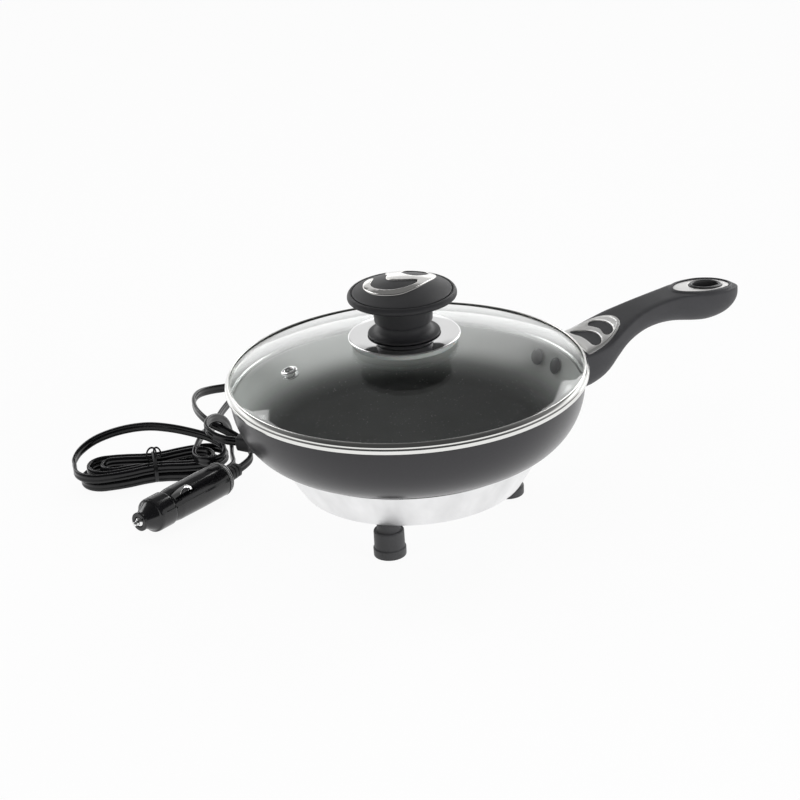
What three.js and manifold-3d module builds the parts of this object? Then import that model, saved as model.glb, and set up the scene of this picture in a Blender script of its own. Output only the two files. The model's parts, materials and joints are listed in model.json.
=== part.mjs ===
// A twelve volt travel frying pan with its glass lid, heater base, handle, cord and lighter plug.
// Millimetres and degrees, +Z up, the feet stand on Z = 0 and the handle points along +X.
import * as THREE from "three";
import { mergeVertices } from "three/addons/utils/BufferGeometryUtils.js";
import Module from "manifold-3d";

const wasm = await Module();
wasm.setup();

// Clearances and mesh fineness
const seatGap = 0.3;
const cutOverrun = 4;
const slopeGap = 0.4;
const largeSides = 40;
const middleSides = 28;
const smallSides = 14;
const curveSteps = 5;
const quarterTurn = Math.PI / 2;
const fullTurn = 2 * Math.PI;

// Pan, whose heights stack on the heater base
const skirtBottomHeight = 21.4;
const heaterDepth = 23.2;
const panRadius = 101;
const panFlatRadius = 72;
const panBottomHeight = skirtBottomHeight + heaterDepth;
const panCurveRise = 35.4;
const panCurveTopHeight = panBottomHeight + panCurveRise;
const panRimRise = 2.3;
const panRimHeight = panCurveTopHeight + panRimRise;
const panWall = 2.6;
const panFloor = 3;
const panLedgeDrop = 5.5;
const panLedgeHeight = panRimHeight - panLedgeDrop;
const panLedgeWidth = 0.9;

// Heater base under the pan, whose radii follow the pan's flat bottom
const skirtTopReach = 6.2;
const skirtTopRadius = panFlatRadius + skirtTopReach;
const skirtTaper = 13.9;
const skirtBottomRadius = skirtTopRadius - skirtTaper;
const skirtWall = 1.2;
const skirtLipWidth = 2.8;
const skirtLipHeight = 1;
const coverThickness = 1;
const elementInset = 19.3;
const elementRadius = skirtBottomRadius - elementInset;
const elementTubeRadius = 3.3;
const elementOpenAngle = 34;
const terminalRadius = 1.2;
const terminalLength = 9;
const clampPlateInset = 10.3;
const clampPlateRadius = skirtBottomRadius - clampPlateInset;
const clampPlateThickness = 1;
const studRadius = 3;
const nutAcross = 10;
const nutHeight = 4;
const insulationInset = 13.3;
const insulationRadius = skirtBottomRadius - insulationInset;
const insulationThickness = 4.5;
const insulationBore = 9;
const cutoutRadius = 8;
const cutoutHeight = 5.5;
const cutoutOffset = 24;
const blockLength = 24;
const blockWidth = 12;
const blockHeight = 5.2;
const blockOffset = 30;
const wireRadius = 1.1;
const wireSpacing = 5;

// Feet
const footCount = 3;
const footInset = 7.3;
const footCircleRadius = skirtBottomRadius - footInset;
const footFirstAngle = -135.5;
const footRadius = 8.8;
const footFlangeRadius = 9.3;
const footFlangeHeight = 2.4;
const footNeckHeight = 5.4;
const footShoulderHeight = skirtBottomHeight - footNeckHeight;
const footNeckRadius = 6.5;
const footBossRadius = 3.9;
const footBoreRadius = 3.7;
const footBoreDepth = 8;
const footScrewRadius = 1.6;
const footScrewHeadRadius = 3.2;
const footScrewHeadHeight = 2;
const footScrewReach = 2.5;

// Handle, its bracket and trims
const handleRootInset = 9;
const handleStartX = panRadius - handleRootInset;
const handleReach = 138;
const handleEndX = panRadius + handleReach;
const handleRootHalfWidth = 21.8;
const handleRootDepth = 22;
const handleRootDrop = 6.8;
const handleRootTopHeight = panRimHeight - handleRootDrop;
const handleRise = 13.5;
const handleRings = 18;
const handleSectionPoints = 14;
const handleSaddleGap = 0.6;
const bracketThickness = 1.8;
const bracketHalfWidth = 15;
const bracketHeight = 15;
const bracketDrop = 16.3;
const bracketCentreHeight = panRimHeight - bracketDrop;
const tongueLength = 30;
const tongueHalfWidth = 5.6;
const tongueThickness = 3;
const rivetAngle = 5.6;
const rivetRadius = 2.2;
const rivetHeadRadius = 4.8;
const rivetHeadHeight = 2.4;
const rivetTailRadius = 3.4;
const rivetTailHeight = 1.4;
const handleScrewReach = 21;
const handleScrewX = panRadius + handleScrewReach;
const handleScrewRadius = 1.8;
const handleScrewHeadRadius = 3.4;
const handleScrewHeadHeight = 2.4;
const handleScrewSink = 2.5;
const rootPlateGap = 7;
const rootPlateStartX = panRadius + rootPlateGap;
const rootPlateLength = 38;
const rootPlateHalfWidth = 17.5;
const trimThickness = 1.4;
const trimProud = 0.5;
const endPlateReach = 49;
const endPlateStartX = handleEndX - endPlateReach;
const endPlateLength = 38;
const endPlateHalfWidth = 10.4;
const hangHoleInset = 27;
const hangHoleX = handleEndX - hangHoleInset;
const hangHoleHalfLength = 8.6;
const hangHoleHalfWidth = 5.4;
const hangBushWall = 2.2;

// Lid
const lidOverhang = 2.5;
const lidRimRadius = panRadius + lidOverhang;
const lidRimWidth = 4.7;
const lidRimInnerRadius = lidRimRadius - lidRimWidth;
const lidRimWall = 1.2;
const lidRimFlange = 0.6;
const lidRimBead = 1.3;
const glassRise = 20.4;
const glassThickness = 4;
const glassHoleRadius = 4.4;
const ventInset = 30.8;
const ventDistance = lidRimInnerRadius - ventInset;
const ventAngle = 166;
const ventBoreRadius = 2.4;
const ventTubeRadius = 3.3;
const ventFlangeRadius = 5.3;
const ventFlangeHeight = 1.6;

// Knob, whose heights stack on the top of the glass
const glassApexHeight = panRimHeight + seatGap + lidRimFlange + slopeGap + glassThickness + glassRise;
const gasketRadius = 30.2;
const gasketRise = 0.9;
const gasketTopHeight = glassApexHeight + gasketRise;
const knobPlateRadius = 31.9;
const knobPlateEdge = 1.8;
const knobPlateRise = 4.1;
const knobScrewRadius = 2.9;
const knobScrewHeadRadius = 5.2;
const knobScrewHeadHeight = 2.6;
const knobScrewReach = 18.8;
const knobScrewTopHeight = gasketTopHeight + knobScrewReach;
const knobWasherRadius = 11;
const knobWasherThickness = 1.5;
const skirtRingRadius = 20.6;
const neckRadius = 16.9;
const neckGrooveRise = 12.3;
const neckGrooveHeight = gasketTopHeight + neckGrooveRise;
const neckGrooveDepth = 0.8;
const neckRise = 21.8;
const neckTopHeight = gasketTopHeight + neckRise;
const spigotRadius = 8;
const spigotHeight = 3.2;
const capRadius = 31;
const capBottomHeight = neckTopHeight + seatGap;
const capEdgeRise = 4;
const capEdgeHeight = capBottomHeight + capEdgeRise;
const capGrooveRadius = 28.7;
const capGrooveRise = 2.7;
const capGrooveHeight = capEdgeHeight + capGrooveRise;
const capDomeRise = 7.3;
const capApexHeight = capGrooveHeight + capDomeRise;
const inlaySize = 22;
const inlayThickness = 1;
const inlayTurn = -30;

// Cord and its boot
const cordWidth = 5.4;
const cordThickness = 2.7;
const bootAngle = 130;
const bootRise = 11.6;
const bootHeight = skirtBottomHeight + bootRise;
const bootNeckRadius = 4.7;
const bootFlangeRadius = 7;
const bootFlangeThickness = 2.5;
const bootEndDistance = 108;
const bootHalfWidth = 6.5;
const bootHalfHeight = 6;
const hankTurns = 4.5;
const hankHalfLength = 47.5;
const hankHalfWidth = 15;
const hankLengthStep = 8;
const hankWidthStep = 3.6;
const hankPinch = 4.5;
const hankPinchLength = 15;
const hankLayerHeight = 5.9;
const hankFirstHeight = 4;
const hankCentre = [-101.5, 133.5];
const hankAngle = -21.5;
const hankStepsPerTurn = 24;
const hankStepsPerFold = 8;
const tieWidth = 4;
const tieThickness = 0.8;

// Lighter plug, measured along its own axis from the tip
const plugTipPlace = [-150, 62];
const plugAngle = 19.4;
const plugRadius = 10.3;
const plugAxisHeight = 11.1;
const tipRadius = 3;
const tipFlangeRadius = 3.8;
const tipFlangeThickness = 1.7;
const tipTravel = 3.5;
const noseFrontDistance = 5;
const noseWall = 4;
const noseFrontRadius = 6.2;
const noseRearDistance = 26;
const noseRadius = 9.4;
const spigotStartDistance = 14;
const plugSpigotRadius = 7.6;
const plugBoreRadius = 4.2;
const springLength = 7.4;
const springTurns = 5;
const springWireRadius = 0.4;
const fuseRadius = 3.2;
const fuseLength = 31;
const bandDistance = 66;
const bandWidth = 3;
const bandDepth = 0.8;
const plugRearDistance = 76;
const plugRearRadius = 6.6;
const sleeveLength = 12;
const sleeveRadius = 4.6;
const sleeveRibs = 4;
const contactStartDistance = 28;
const contactLength = 15;
const contactWidth = 5;
const contactThickness = 0.6;
const contactBulge = 1.4;
const contactTravel = 1.4;
const contactRoll = 35;

// Where the pan's axis stands, so that the part's origin is the middle of its footprint box
const panAxisX = -(handleEndX - lidRimRadius) / 2;

// Materials, one look for each real finish
const looks = {
  coatedPan: [0x2c2c2f, 0.45, 0.3],
  brushedAluminium: [0xc9cbcc, 0.32, 1],
  steel: [0xb4b6b8, 0.35, 1],
  chrome: [0xe2e3e4, 0.08, 1],
  glass: [0xcfd6d2, 0.05, 0],
  softBlack: [0x2b2b2d, 0.62, 0],
  rubber: [0x38383b, 0.7, 0],
  cordBlack: [0x121213, 0.45, 0],
  plugBlack: [0x101011, 0.22, 0],
  greyPlastic: [0x8f9092, 0.5, 0],
  ceramic: [0xe6e1d4, 0.7, 0],
  fibre: [0xd9d5c8, 0.9, 0],
  silicone: [0xa7aaa9, 0.4, 0],
  brass: [0xb08d4c, 0.3, 1],
};

function paint(look) {
  const [color, roughness, metalness] = looks[look];
  return new THREE.MeshStandardMaterial({ color, roughness, metalness });
}

function piece(group, name, look, geometry) {
  const mesh = new THREE.Mesh(geometry, paint(look));
  mesh.name = name;
  group.add(mesh);
  return mesh;
}

const radians = THREE.MathUtils.degToRad;

// Half the overall volume test: a closed mesh whose volume comes out negative has its faces turned round.
function facingOut(geometry) {
  const bare = geometry.index ? geometry.toNonIndexed() : geometry.clone();
  for (const name of Object.keys(bare.attributes)) if (name !== "position") bare.deleteAttribute(name);
  const merged = mergeVertices(bare);
  const at = merged.attributes.position;
  const index = merged.index.array;
  const [a, b, c] = [new THREE.Vector3(), new THREE.Vector3(), new THREE.Vector3()];
  let volume = 0;
  for (let i = 0; i < index.length; i += 3) {
    a.fromBufferAttribute(at, index[i]);
    b.fromBufferAttribute(at, index[i + 1]);
    c.fromBufferAttribute(at, index[i + 2]);
    volume += a.dot(b.cross(c));
  }
  if (volume < 0) {
    for (let i = 0; i < index.length; i += 3) [index[i], index[i + 1]] = [index[i + 1], index[i]];
  }
  return merged;
}

function solid(geometry) {
  const merged = facingOut(geometry);
  return new wasm.Manifold(
    new wasm.Mesh({
      numProp: 3,
      vertProperties: merged.attributes.position.array,
      triVerts: new Uint32Array(merged.index.array),
    }),
  );
}

function geometryOf(made) {
  const mesh = made.getMesh();
  const geometry = new THREE.BufferGeometry();
  geometry.setAttribute("position", new THREE.BufferAttribute(mesh.vertProperties, 3));
  geometry.setIndex(new THREE.BufferAttribute(mesh.triVerts, 1));
  return geometry;
}

function cut(geometry, ...tools) {
  return geometryOf(tools.reduce((rest, tool) => rest.subtract(solid(tool)), solid(geometry)));
}

function joined(geometry, ...others) {
  return geometryOf(others.reduce((sum, other) => sum.add(solid(other)), solid(geometry)));
}

function common(geometry, other) {
  return geometryOf(solid(geometry).intersect(solid(other)));
}

// A closed outline of [radius, height] pairs turned about the Z axis
function turned(outline, sides = largeSides) {
  const points = outline.map(([radius, height]) => new THREE.Vector2(radius, height));
  const [first, last] = [points[0], points[points.length - 1]];
  if (first.x !== 0 || last.x !== 0) points.push(first.clone());
  return facingOut(new THREE.LatheGeometry(points, sides).rotateX(quarterTurn));
}

function cylinder(radius, bottom, top, sides = smallSides) {
  return turned([[0, bottom], [radius, bottom], [radius, top], [0, top]], sides);
}

function box(lengthX, lengthY, bottom, top) {
  return new THREE.BoxGeometry(lengthX, lengthY, top - bottom).translate(0, 0, (top + bottom) / 2);
}

function upright(shape, bottom, top, segments = smallSides) {
  const settings = { depth: top - bottom, bevelEnabled: false, curveSegments: segments };
  return new THREE.ExtrudeGeometry(shape, settings).translate(0, 0, bottom);
}

// Outlines all run the same way round, so that a hole in one is read as a hole
function outline(points) {
  const corners = points.map(([x, y]) => new THREE.Vector2(x, y));
  if (THREE.ShapeUtils.isClockWise(corners)) corners.reverse();
  return new THREE.Shape(corners);
}

function smoothOutline(points, divisions) {
  const curve = new THREE.CatmullRomCurve3(points.map(([x, y]) => new THREE.Vector3(x, y, 0)), true);
  return outline(curve.getPoints(divisions).slice(0, -1).map((point) => [point.x, point.y]));
}

function ellipse(centreX, halfLength, halfWidth) {
  const shape = new THREE.Shape();
  return shape.absellipse(centreX, 0, halfLength, halfWidth, 0, fullTurn, false, 0);
}

function atAngle(geometry, distance, angle) {
  return geometry.translate(distance, 0, 0).rotateZ(radians(angle));
}

// Pan shape: the wall is a quarter ellipse that rises from the flat bottom
const panCurveDrop = panCurveTopHeight - panBottomHeight;

function quarterArc(radiusSpan, heightSpan, grow = 0) {
  const points = [];
  for (let step = 0; step <= curveSteps; step += 1) {
    const angle = (quarterTurn * step) / curveSteps;
    const radius = panFlatRadius + (radiusSpan + grow) * Math.sin(angle);
    points.push([radius, panCurveTopHeight - (heightSpan + grow) * Math.cos(angle)]);
  }
  return points;
}

const panOutside = () => quarterArc(panRadius - panFlatRadius, panCurveDrop);
const panInside = () => quarterArc(panRadius - panFlatRadius - panWall, panCurveDrop - panFloor);

function panWallAngle(height) {
  return Math.acos((panCurveTopHeight - height) / panCurveDrop);
}

function panRadiusAt(height) {
  if (height >= panCurveTopHeight) return panRadius;
  return panFlatRadius + (panRadius - panFlatRadius) * Math.sin(panWallAngle(height));
}

// How far the wall leans out from the vertical at a height, in radians
function panLeanAt(height) {
  const angle = panWallAngle(height);
  return Math.atan2((panRadius - panFlatRadius) * Math.cos(angle), panCurveDrop * Math.sin(angle));
}

// The space of the pan grown by a gap, which cuts what lies against it
function panEnvelope(gap) {
  const arc = quarterArc(panRadius - panFlatRadius, panCurveDrop, gap);
  return turned([
    [0, panBottomHeight - gap],
    ...arc,
    [panRadius + gap, panRimHeight + cutOverrun],
    [0, panRimHeight + cutOverrun],
  ]);
}

// Lies along the wall's outward normal: its own +Z becomes the normal at that height and angle
function onPanWall(geometry, height, angle) {
  const lean = panLeanAt(height);
  geometry.rotateY(quarterTurn + lean);
  geometry.translate(panRadiusAt(height), 0, height);
  return geometry.rotateZ(radians(angle));
}

const rivetAngles = [-rivetAngle, rivetAngle];

function rivetBore(angle) {
  return onPanWall(cylinder(rivetRadius + seatGap, -cutOverrun, cutOverrun), bracketCentreHeight, angle);
}

function makePan(group) {
  const ledgeRadius = panRadius - panWall + panLedgeWidth;
  const inside = panInside().filter(([, height]) => height < panLedgeHeight - panLedgeWidth);
  const shell = turned([
    [0, panBottomHeight],
    ...panOutside(),
    [panRadius, panRimHeight],
    [ledgeRadius, panRimHeight],
    [ledgeRadius, panLedgeHeight],
    ...inside.reverse(),
    [0, panBottomHeight + panFloor],
  ]);
  piece(group, "pan_shell", "coatedPan", cut(shell, ...rivetAngles.map(rivetBore)));
}

// Heights inside the heater base, from the pan's underside down
const elementHeight = panBottomHeight - seatGap - elementTubeRadius;
const clampTopHeight = elementHeight - elementTubeRadius - seatGap;
const clampBottomHeight = clampTopHeight - clampPlateThickness;
const coverBottomHeight = skirtBottomHeight + skirtLipHeight + seatGap;
const coverTopHeight = coverBottomHeight + coverThickness;
const insulationBottomHeight = coverTopHeight + seatGap;
const insulationTopHeight = insulationBottomHeight + insulationThickness;

// The skirt closes against the curve of the pan, so its top follows the pan's radius there
const skirtTopHeight = panCurveTopHeight
  - panCurveDrop * Math.sqrt(1 - ((skirtTopRadius - skirtWall - panFlatRadius) / (panRadius - panFlatRadius)) ** 2)
  - seatGap * 2;

function skirtRadiusAt(height) {
  const share = (height - skirtBottomHeight) / (skirtTopHeight - skirtBottomHeight);
  return skirtBottomRadius + (skirtTopRadius - skirtBottomRadius) * share;
}

function skirtEnvelope(gap) {
  return turned([
    [0, skirtBottomHeight - cutOverrun],
    [skirtRadiusAt(skirtBottomHeight - cutOverrun) + gap, skirtBottomHeight - cutOverrun],
    [skirtRadiusAt(skirtTopHeight + cutOverrun) + gap, skirtTopHeight + cutOverrun],
    [0, skirtTopHeight + cutOverrun],
  ]);
}

function alongBoot(geometry, distance) {
  return atAngle(geometry.rotateY(quarterTurn).translate(0, 0, bootHeight), distance, bootAngle);
}

function makeSkirt(group) {
  const lipRadius = skirtBottomRadius - skirtLipWidth;
  const lipTop = skirtBottomHeight + skirtLipHeight;
  const skirt = turned([
    [lipRadius, skirtBottomHeight],
    [skirtBottomRadius, skirtBottomHeight],
    [skirtTopRadius, skirtTopHeight],
    [skirtTopRadius - skirtWall, skirtTopHeight],
    [skirtRadiusAt(lipTop) - skirtWall, lipTop],
    [lipRadius, lipTop],
  ]);
  const bore = alongBoot(cylinder(bootNeckRadius + seatGap, -cutOverrun * 2, cutOverrun * 2), skirtRadiusAt(bootHeight));
  piece(group, "heater_skirt", "brushedAluminium", cut(skirt, bore));
}

const footAngles = Array.from({ length: footCount }, (_, index) => footFirstAngle + (360 / footCount) * index);

function atFoot(geometry, angle) {
  return atAngle(geometry, footCircleRadius, angle);
}

function makeCover(group) {
  const disc = turned([
    [studRadius + seatGap, coverBottomHeight],
    [skirtRadiusAt(coverBottomHeight) - skirtWall - seatGap * 2, coverBottomHeight],
    [skirtRadiusAt(coverBottomHeight) - skirtWall - seatGap * 2, coverTopHeight],
    [studRadius + seatGap, coverTopHeight],
  ]);
  const bores = footAngles.map((angle) =>
    atFoot(cylinder(footScrewRadius + seatGap, coverBottomHeight - cutOverrun, coverTopHeight + cutOverrun), angle));
  piece(group, "base_cover", "steel", cut(disc, ...bores));
}

function makeFeet(group) {
  const footTop = skirtBottomHeight - seatGap;
  const bossTop = coverBottomHeight - seatGap;
  const screwSeat = footBoreDepth + seatGap;
  footAngles.forEach((angle, index) => {
    const foot = turned([
      [footBoreRadius, 0],
      [footFlangeRadius, 0],
      [footFlangeRadius, footFlangeHeight],
      [footRadius, footFlangeHeight + (footFlangeRadius - footRadius)],
      [footRadius, footShoulderHeight - (footRadius - footNeckRadius)],
      [footNeckRadius, footShoulderHeight],
      [footNeckRadius, footTop],
      [footBossRadius, footTop],
      [footBossRadius, bossTop],
      [footScrewRadius + seatGap, bossTop],
      [footScrewRadius + seatGap, screwSeat],
      [footBoreRadius, screwSeat],
    ], smallSides);
    piece(group, `foot_${index + 1}`, "rubber", atFoot(foot, angle));
    const headBottom = footBoreDepth - footScrewHeadHeight;
    const screw = turned([
      [0, headBottom],
      [footScrewHeadRadius, headBottom],
      [footScrewHeadRadius, footBoreDepth],
      [footScrewRadius, footBoreDepth],
      [footScrewRadius, coverTopHeight + footScrewReach],
      [0, coverTopHeight + footScrewReach],
    ], smallSides / 2);
    piece(group, `foot_screw_${index + 1}`, "steel", atFoot(screw, angle));
  });
}

function hexNut(bottom, top) {
  const corners = 6;
  const nut = cylinder(nutAcross / Math.sqrt(3), bottom, top, corners);
  return cut(nut, cylinder(studRadius + seatGap, bottom - cutOverrun, top + cutOverrun));
}

// The arc that the element follows, open towards the boot
class ElementArc extends THREE.Curve {
  getPoint(share, target = new THREE.Vector3()) {
    const swept = fullTurn - radians(elementOpenAngle);
    const angle = radians(bootAngle + elementOpenAngle / 2) + swept * share;
    return target.set(elementRadius * Math.cos(angle), elementRadius * Math.sin(angle), elementHeight);
  }
}

function roundSection(radius, sides) {
  const points = Array.from({ length: sides }, (_, index) => {
    const angle = (fullTurn * (index + 0.5)) / sides;
    return [radius * Math.cos(angle), radius * Math.sin(angle)];
  });
  return outline(points);
}

function tube(path, section, steps) {
  return facingOut(new THREE.ExtrudeGeometry(section, { extrudePath: path, steps, bevelEnabled: false }));
}

function makeHeater(group) {
  const elementSides = 8;
  const elementSteps = 26;
  piece(group, "heating_element", "steel", tube(new ElementArc(), roundSection(elementTubeRadius, elementSides), elementSteps));
  const halfOpening = radians(elementOpenAngle / 2);
  const terminalEnd = seatGap + terminalLength;
  [-1, 1].forEach((side, index) => {
    const pin = cylinder(terminalRadius, seatGap, terminalEnd, smallSides / 2);
    pin.rotateX(side * quarterTurn).translate(elementRadius, 0, elementHeight);
    pin.rotateZ(side * halfOpening + radians(bootAngle));
    piece(group, `element_terminal_${index + 1}`, "brass", pin);
  });

  const clamp = turned([
    [studRadius + seatGap, clampBottomHeight],
    [clampPlateRadius, clampBottomHeight],
    [clampPlateRadius, clampTopHeight],
    [studRadius + seatGap, clampTopHeight],
  ], middleSides);
  piece(group, "clamp_plate", "steel", clamp);
  const outerNutTop = coverBottomHeight - seatGap;
  const studBottom = outerNutTop - nutHeight;
  piece(group, "centre_stud", "steel", cylinder(studRadius, studBottom, panBottomHeight - seatGap));
  const clampNutTop = clampBottomHeight - seatGap;
  piece(group, "clamp_nut", "steel", hexNut(clampNutTop - nutHeight, clampNutTop));
  piece(group, "cover_nut", "steel", hexNut(outerNutTop - nutHeight, outerNutTop));

  const pad = turned([
    [insulationBore, insulationBottomHeight],
    [insulationRadius, insulationBottomHeight],
    [insulationRadius, insulationTopHeight],
    [insulationBore, insulationTopHeight],
  ], middleSides);
  piece(group, "insulation_pad", "fibre", pad);

  const cutoutTop = clampBottomHeight - seatGap;
  const cutoutSwitch = cylinder(cutoutRadius, cutoutTop - cutoutHeight, cutoutTop);
  piece(group, "thermal_cutout", "ceramic", atAngle(cutoutSwitch, cutoutOffset, bootAngle + 180));

  const blockBottom = insulationTopHeight + seatGap;
  const block = box(blockWidth, blockLength, blockBottom, blockBottom + blockHeight);
  piece(group, "terminal_block", "ceramic", atAngle(block, blockOffset, bootAngle));

  const wireHeight = bootHeight;
  const wireStart = blockOffset + blockWidth / 2 + seatGap;
  const wireEnd = skirtRadiusAt(bootHeight) - skirtWall - bootFlangeThickness - seatGap * 3;
  [-1, 1].forEach((side, index) => {
    const wire = cylinder(wireRadius, wireStart, wireEnd, smallSides / 2).rotateY(quarterTurn);
    wire.translate(0, (side * wireSpacing) / 2, wireHeight).rotateZ(radians(bootAngle));
    piece(group, `supply_wire_${index + 1}`, "cordBlack", wire);
  });
}

// The moulded boot that carries the cord out through the skirt
function makeBoot(group) {
  const wallRadius = skirtRadiusAt(bootHeight);
  const flangeEnd = wallRadius - skirtWall - seatGap * 2;
  const flangeStart = flangeEnd - bootFlangeThickness;
  const neck = alongBoot(cylinder(bootNeckRadius, flangeStart, wallRadius + cutOverrun), 0);
  const flange = alongBoot(cylinder(bootFlangeRadius, flangeStart, flangeEnd), 0);
  const bodyStart = wallRadius - cutOverrun;
  const bodyLength = bootEndDistance - bodyStart;
  const body = new THREE.BoxGeometry(bodyLength, bootHalfWidth * 2, bootHalfHeight * 2);
  body.translate(bodyStart + bodyLength / 2, 0, bootHeight).rotateZ(radians(bootAngle));
  const inner = common(flange, skirtEnvelope(-skirtWall - slopeGap));
  const outer = cut(body, skirtEnvelope(slopeGap), panEnvelope(slopeGap));
  piece(group, "cord_boot", "cordBlack", joined(outer, neck, inner));
}

// Handle: shares of its length, half width, rise of the top and depth, from the pan to the end
const handleShapeShares = [
  [0, 0.96, 0.08, 1.04],
  [0.1, 0.98, 0.03, 1.03],
  [0.18, 1, 0.01, 1],
  [0.27, 0.79, 0.16, 0.87],
  [0.36, 0.55, 0.5, 0.73],
  [0.47, 0.42, 0.85, 0.67],
  [0.59, 0.45, 0.99, 0.67],
  [0.71, 0.6, 0.95, 0.74],
  [0.82, 0.68, 0.86, 0.69],
  [0.91, 0.56, 0.74, 0.54],
  [0.97, 0.34, 0.56, 0.36],
  [1, 0.1, 0.4, 0.14],
];
const handleSectionPower = 0.66;
const handleLength = handleEndX - handleStartX;

function handleCurve(column) {
  const points = handleShapeShares.map((row) => new THREE.Vector3(row[0], row[column], 0));
  return new THREE.CatmullRomCurve3(points, false, "catmullrom");
}

const handleWidthCurve = handleCurve(1);
const handleTopCurve = handleCurve(2);
const handleDepthCurve = handleCurve(3);

// The handle's place, half width, top and depth at a share of the curves' run
function handleStation(share) {
  return {
    x: handleStartX + handleLength * handleWidthCurve.getPoint(share).x,
    halfWidth: handleRootHalfWidth * handleWidthCurve.getPoint(share).y,
    top: handleRootTopHeight + handleRise * handleTopCurve.getPoint(share).y,
    depth: handleRootDepth * handleDepthCurve.getPoint(share).y,
  };
}

function handleTopAt(x) {
  let [low, high] = [0, 1];
  for (let halving = 0; halving < largeSides; halving += 1) {
    const middle = (low + high) / 2;
    if (handleStation(middle).x < x) low = middle;
    else high = middle;
  }
  return handleStation(low).top;
}

function handleBottomAt(x) {
  let [low, high] = [0, 1];
  for (let halving = 0; halving < largeSides; halving += 1) {
    const middle = (low + high) / 2;
    if (handleStation(middle).x < x) low = middle;
    else high = middle;
  }
  const station = handleStation(low);
  return station.top - station.depth;
}

function rounded(value) {
  return Math.sign(value) * Math.abs(value) ** handleSectionPower;
}

function ringSolid(rings) {
  const sides = rings[0].length;
  const positions = [];
  const index = [];
  rings.forEach((ring) => ring.forEach((point) => positions.push(...point)));
  for (let ring = 0; ring + 1 < rings.length; ring += 1) {
    for (let side = 0; side < sides; side += 1) {
      const here = ring * sides + side;
      const next = ring * sides + ((side + 1) % sides);
      index.push(here, next, here + sides, next, next + sides, here + sides);
    }
  }
  const lastRing = (rings.length - 1) * sides;
  for (let side = 1; side + 1 < sides; side += 1) {
    index.push(0, side + 1, side);
    index.push(lastRing, lastRing + side, lastRing + side + 1);
  }
  const geometry = new THREE.BufferGeometry();
  geometry.setAttribute("position", new THREE.Float32BufferAttribute(positions, 3));
  geometry.setIndex(index);
  return facingOut(geometry);
}

function handleBlank() {
  const rings = [];
  for (let step = 0; step <= handleRings; step += 1) {
    const { x, halfWidth, top, depth } = handleStation(step / handleRings);
    const ring = [];
    for (let corner = 0; corner < handleSectionPoints; corner += 1) {
      const angle = (fullTurn * (corner + 0.5)) / handleSectionPoints;
      const across = halfWidth * rounded(Math.cos(angle));
      ring.push([x, across, top - depth / 2 + (depth / 2) * rounded(Math.sin(angle))]);
    }
    rings.push(ring);
  }
  return ringSolid(rings);
}

// A band that follows the handle's top between two offsets, for the trims and their seats
function topBand(startX, endX, halfWidth, low, high) {
  const steps = curveSteps * 2;
  const above = [];
  const below = [];
  for (let step = 0; step <= steps; step += 1) {
    const x = startX + ((endX - startX) * step) / steps;
    above.push([x, handleTopAt(x) + high]);
    below.push([x, handleTopAt(x) + low]);
  }
  const side = outline([...below, ...above.reverse()]);
  const settings = { depth: halfWidth * 2, bevelEnabled: false };
  return new THREE.ExtrudeGeometry(side, settings).rotateX(quarterTurn).translate(0, halfWidth, 0);
}

// Plate by the pan: a shield with two comma openings, in shares of its length and half width
const rootPlateShares = [
  [-0.1, 0.8], [0.1, 0.98], [0.42, 0.98], [0.72, 0.82], [0.93, 0.45], [1, 0],
  [0.94, -0.46], [0.76, -0.8], [0.44, -1], [0.1, -0.98], [-0.1, -0.8],
];
const farCommaShares = [
  [0.56, 0.62], [0.72, 0.5], [0.82, 0.16], [0.8, -0.22], [0.68, -0.4], [0.58, -0.3], [0.6, 0.02], [0.62, 0.3],
];
const nearCommaShares = [
  [0.26, 0.68], [0.4, 0.46], [0.48, 0.1], [0.5, -0.3], [0.44, -0.64], [0.34, -0.76], [0.27, -0.6], [0.32, -0.1],
];
const endPlateShares = [
  [0, 0], [0.12, 0.4], [0.34, 0.78], [0.6, 1], [0.82, 0.86], [0.96, 0.46],
  [1, 0], [0.96, -0.46], [0.82, -0.86], [0.6, -1], [0.34, -0.78], [0.12, -0.4],
];

function spread(shares, startX, length, halfWidth) {
  return shares.map(([along, across]) => [startX + length * along, halfWidth * across]);
}

function grownShape(shape, gap) {
  const points = shape.getPoints(smallSides);
  const centre = points.reduce((sum, point) => sum.add(point), new THREE.Vector2()).divideScalar(points.length);
  const grown = points.map((point) => {
    const away = point.clone().sub(centre);
    return [point.x + (away.x / away.length()) * gap, point.y + (away.y / away.length()) * gap];
  });
  return outline(grown);
}

const trimSteps = 28;
const trimFloor = trimProud - trimThickness;
const trimCutHeight = handleRootDepth + handleRise;

function trimPlate(shape, startX, endX, halfWidth) {
  const low = handleRootTopHeight - trimCutHeight;
  const high = handleRootTopHeight + trimCutHeight;
  return common(upright(shape, low, high), topBand(startX, endX, halfWidth, trimFloor, trimProud));
}

function trimSeat(shape, startX, endX, halfWidth) {
  const low = handleRootTopHeight - trimCutHeight;
  const high = handleRootTopHeight + trimCutHeight;
  const seat = topBand(startX, endX, halfWidth, trimFloor - slopeGap, trimProud + cutOverrun);
  return common(upright(grownShape(shape, slopeGap), low, high), seat);
}

function rootPlateShape() {
  return smoothOutline(spread(rootPlateShares, rootPlateStartX, rootPlateLength, rootPlateHalfWidth), trimSteps);
}

function endPlateShape() {
  return smoothOutline(spread(endPlateShares, endPlateStartX, endPlateLength, endPlateHalfWidth), trimSteps);
}

const rootPlateEndX = rootPlateStartX + rootPlateLength;
const endPlateEndX = endPlateStartX + endPlateLength;

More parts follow.
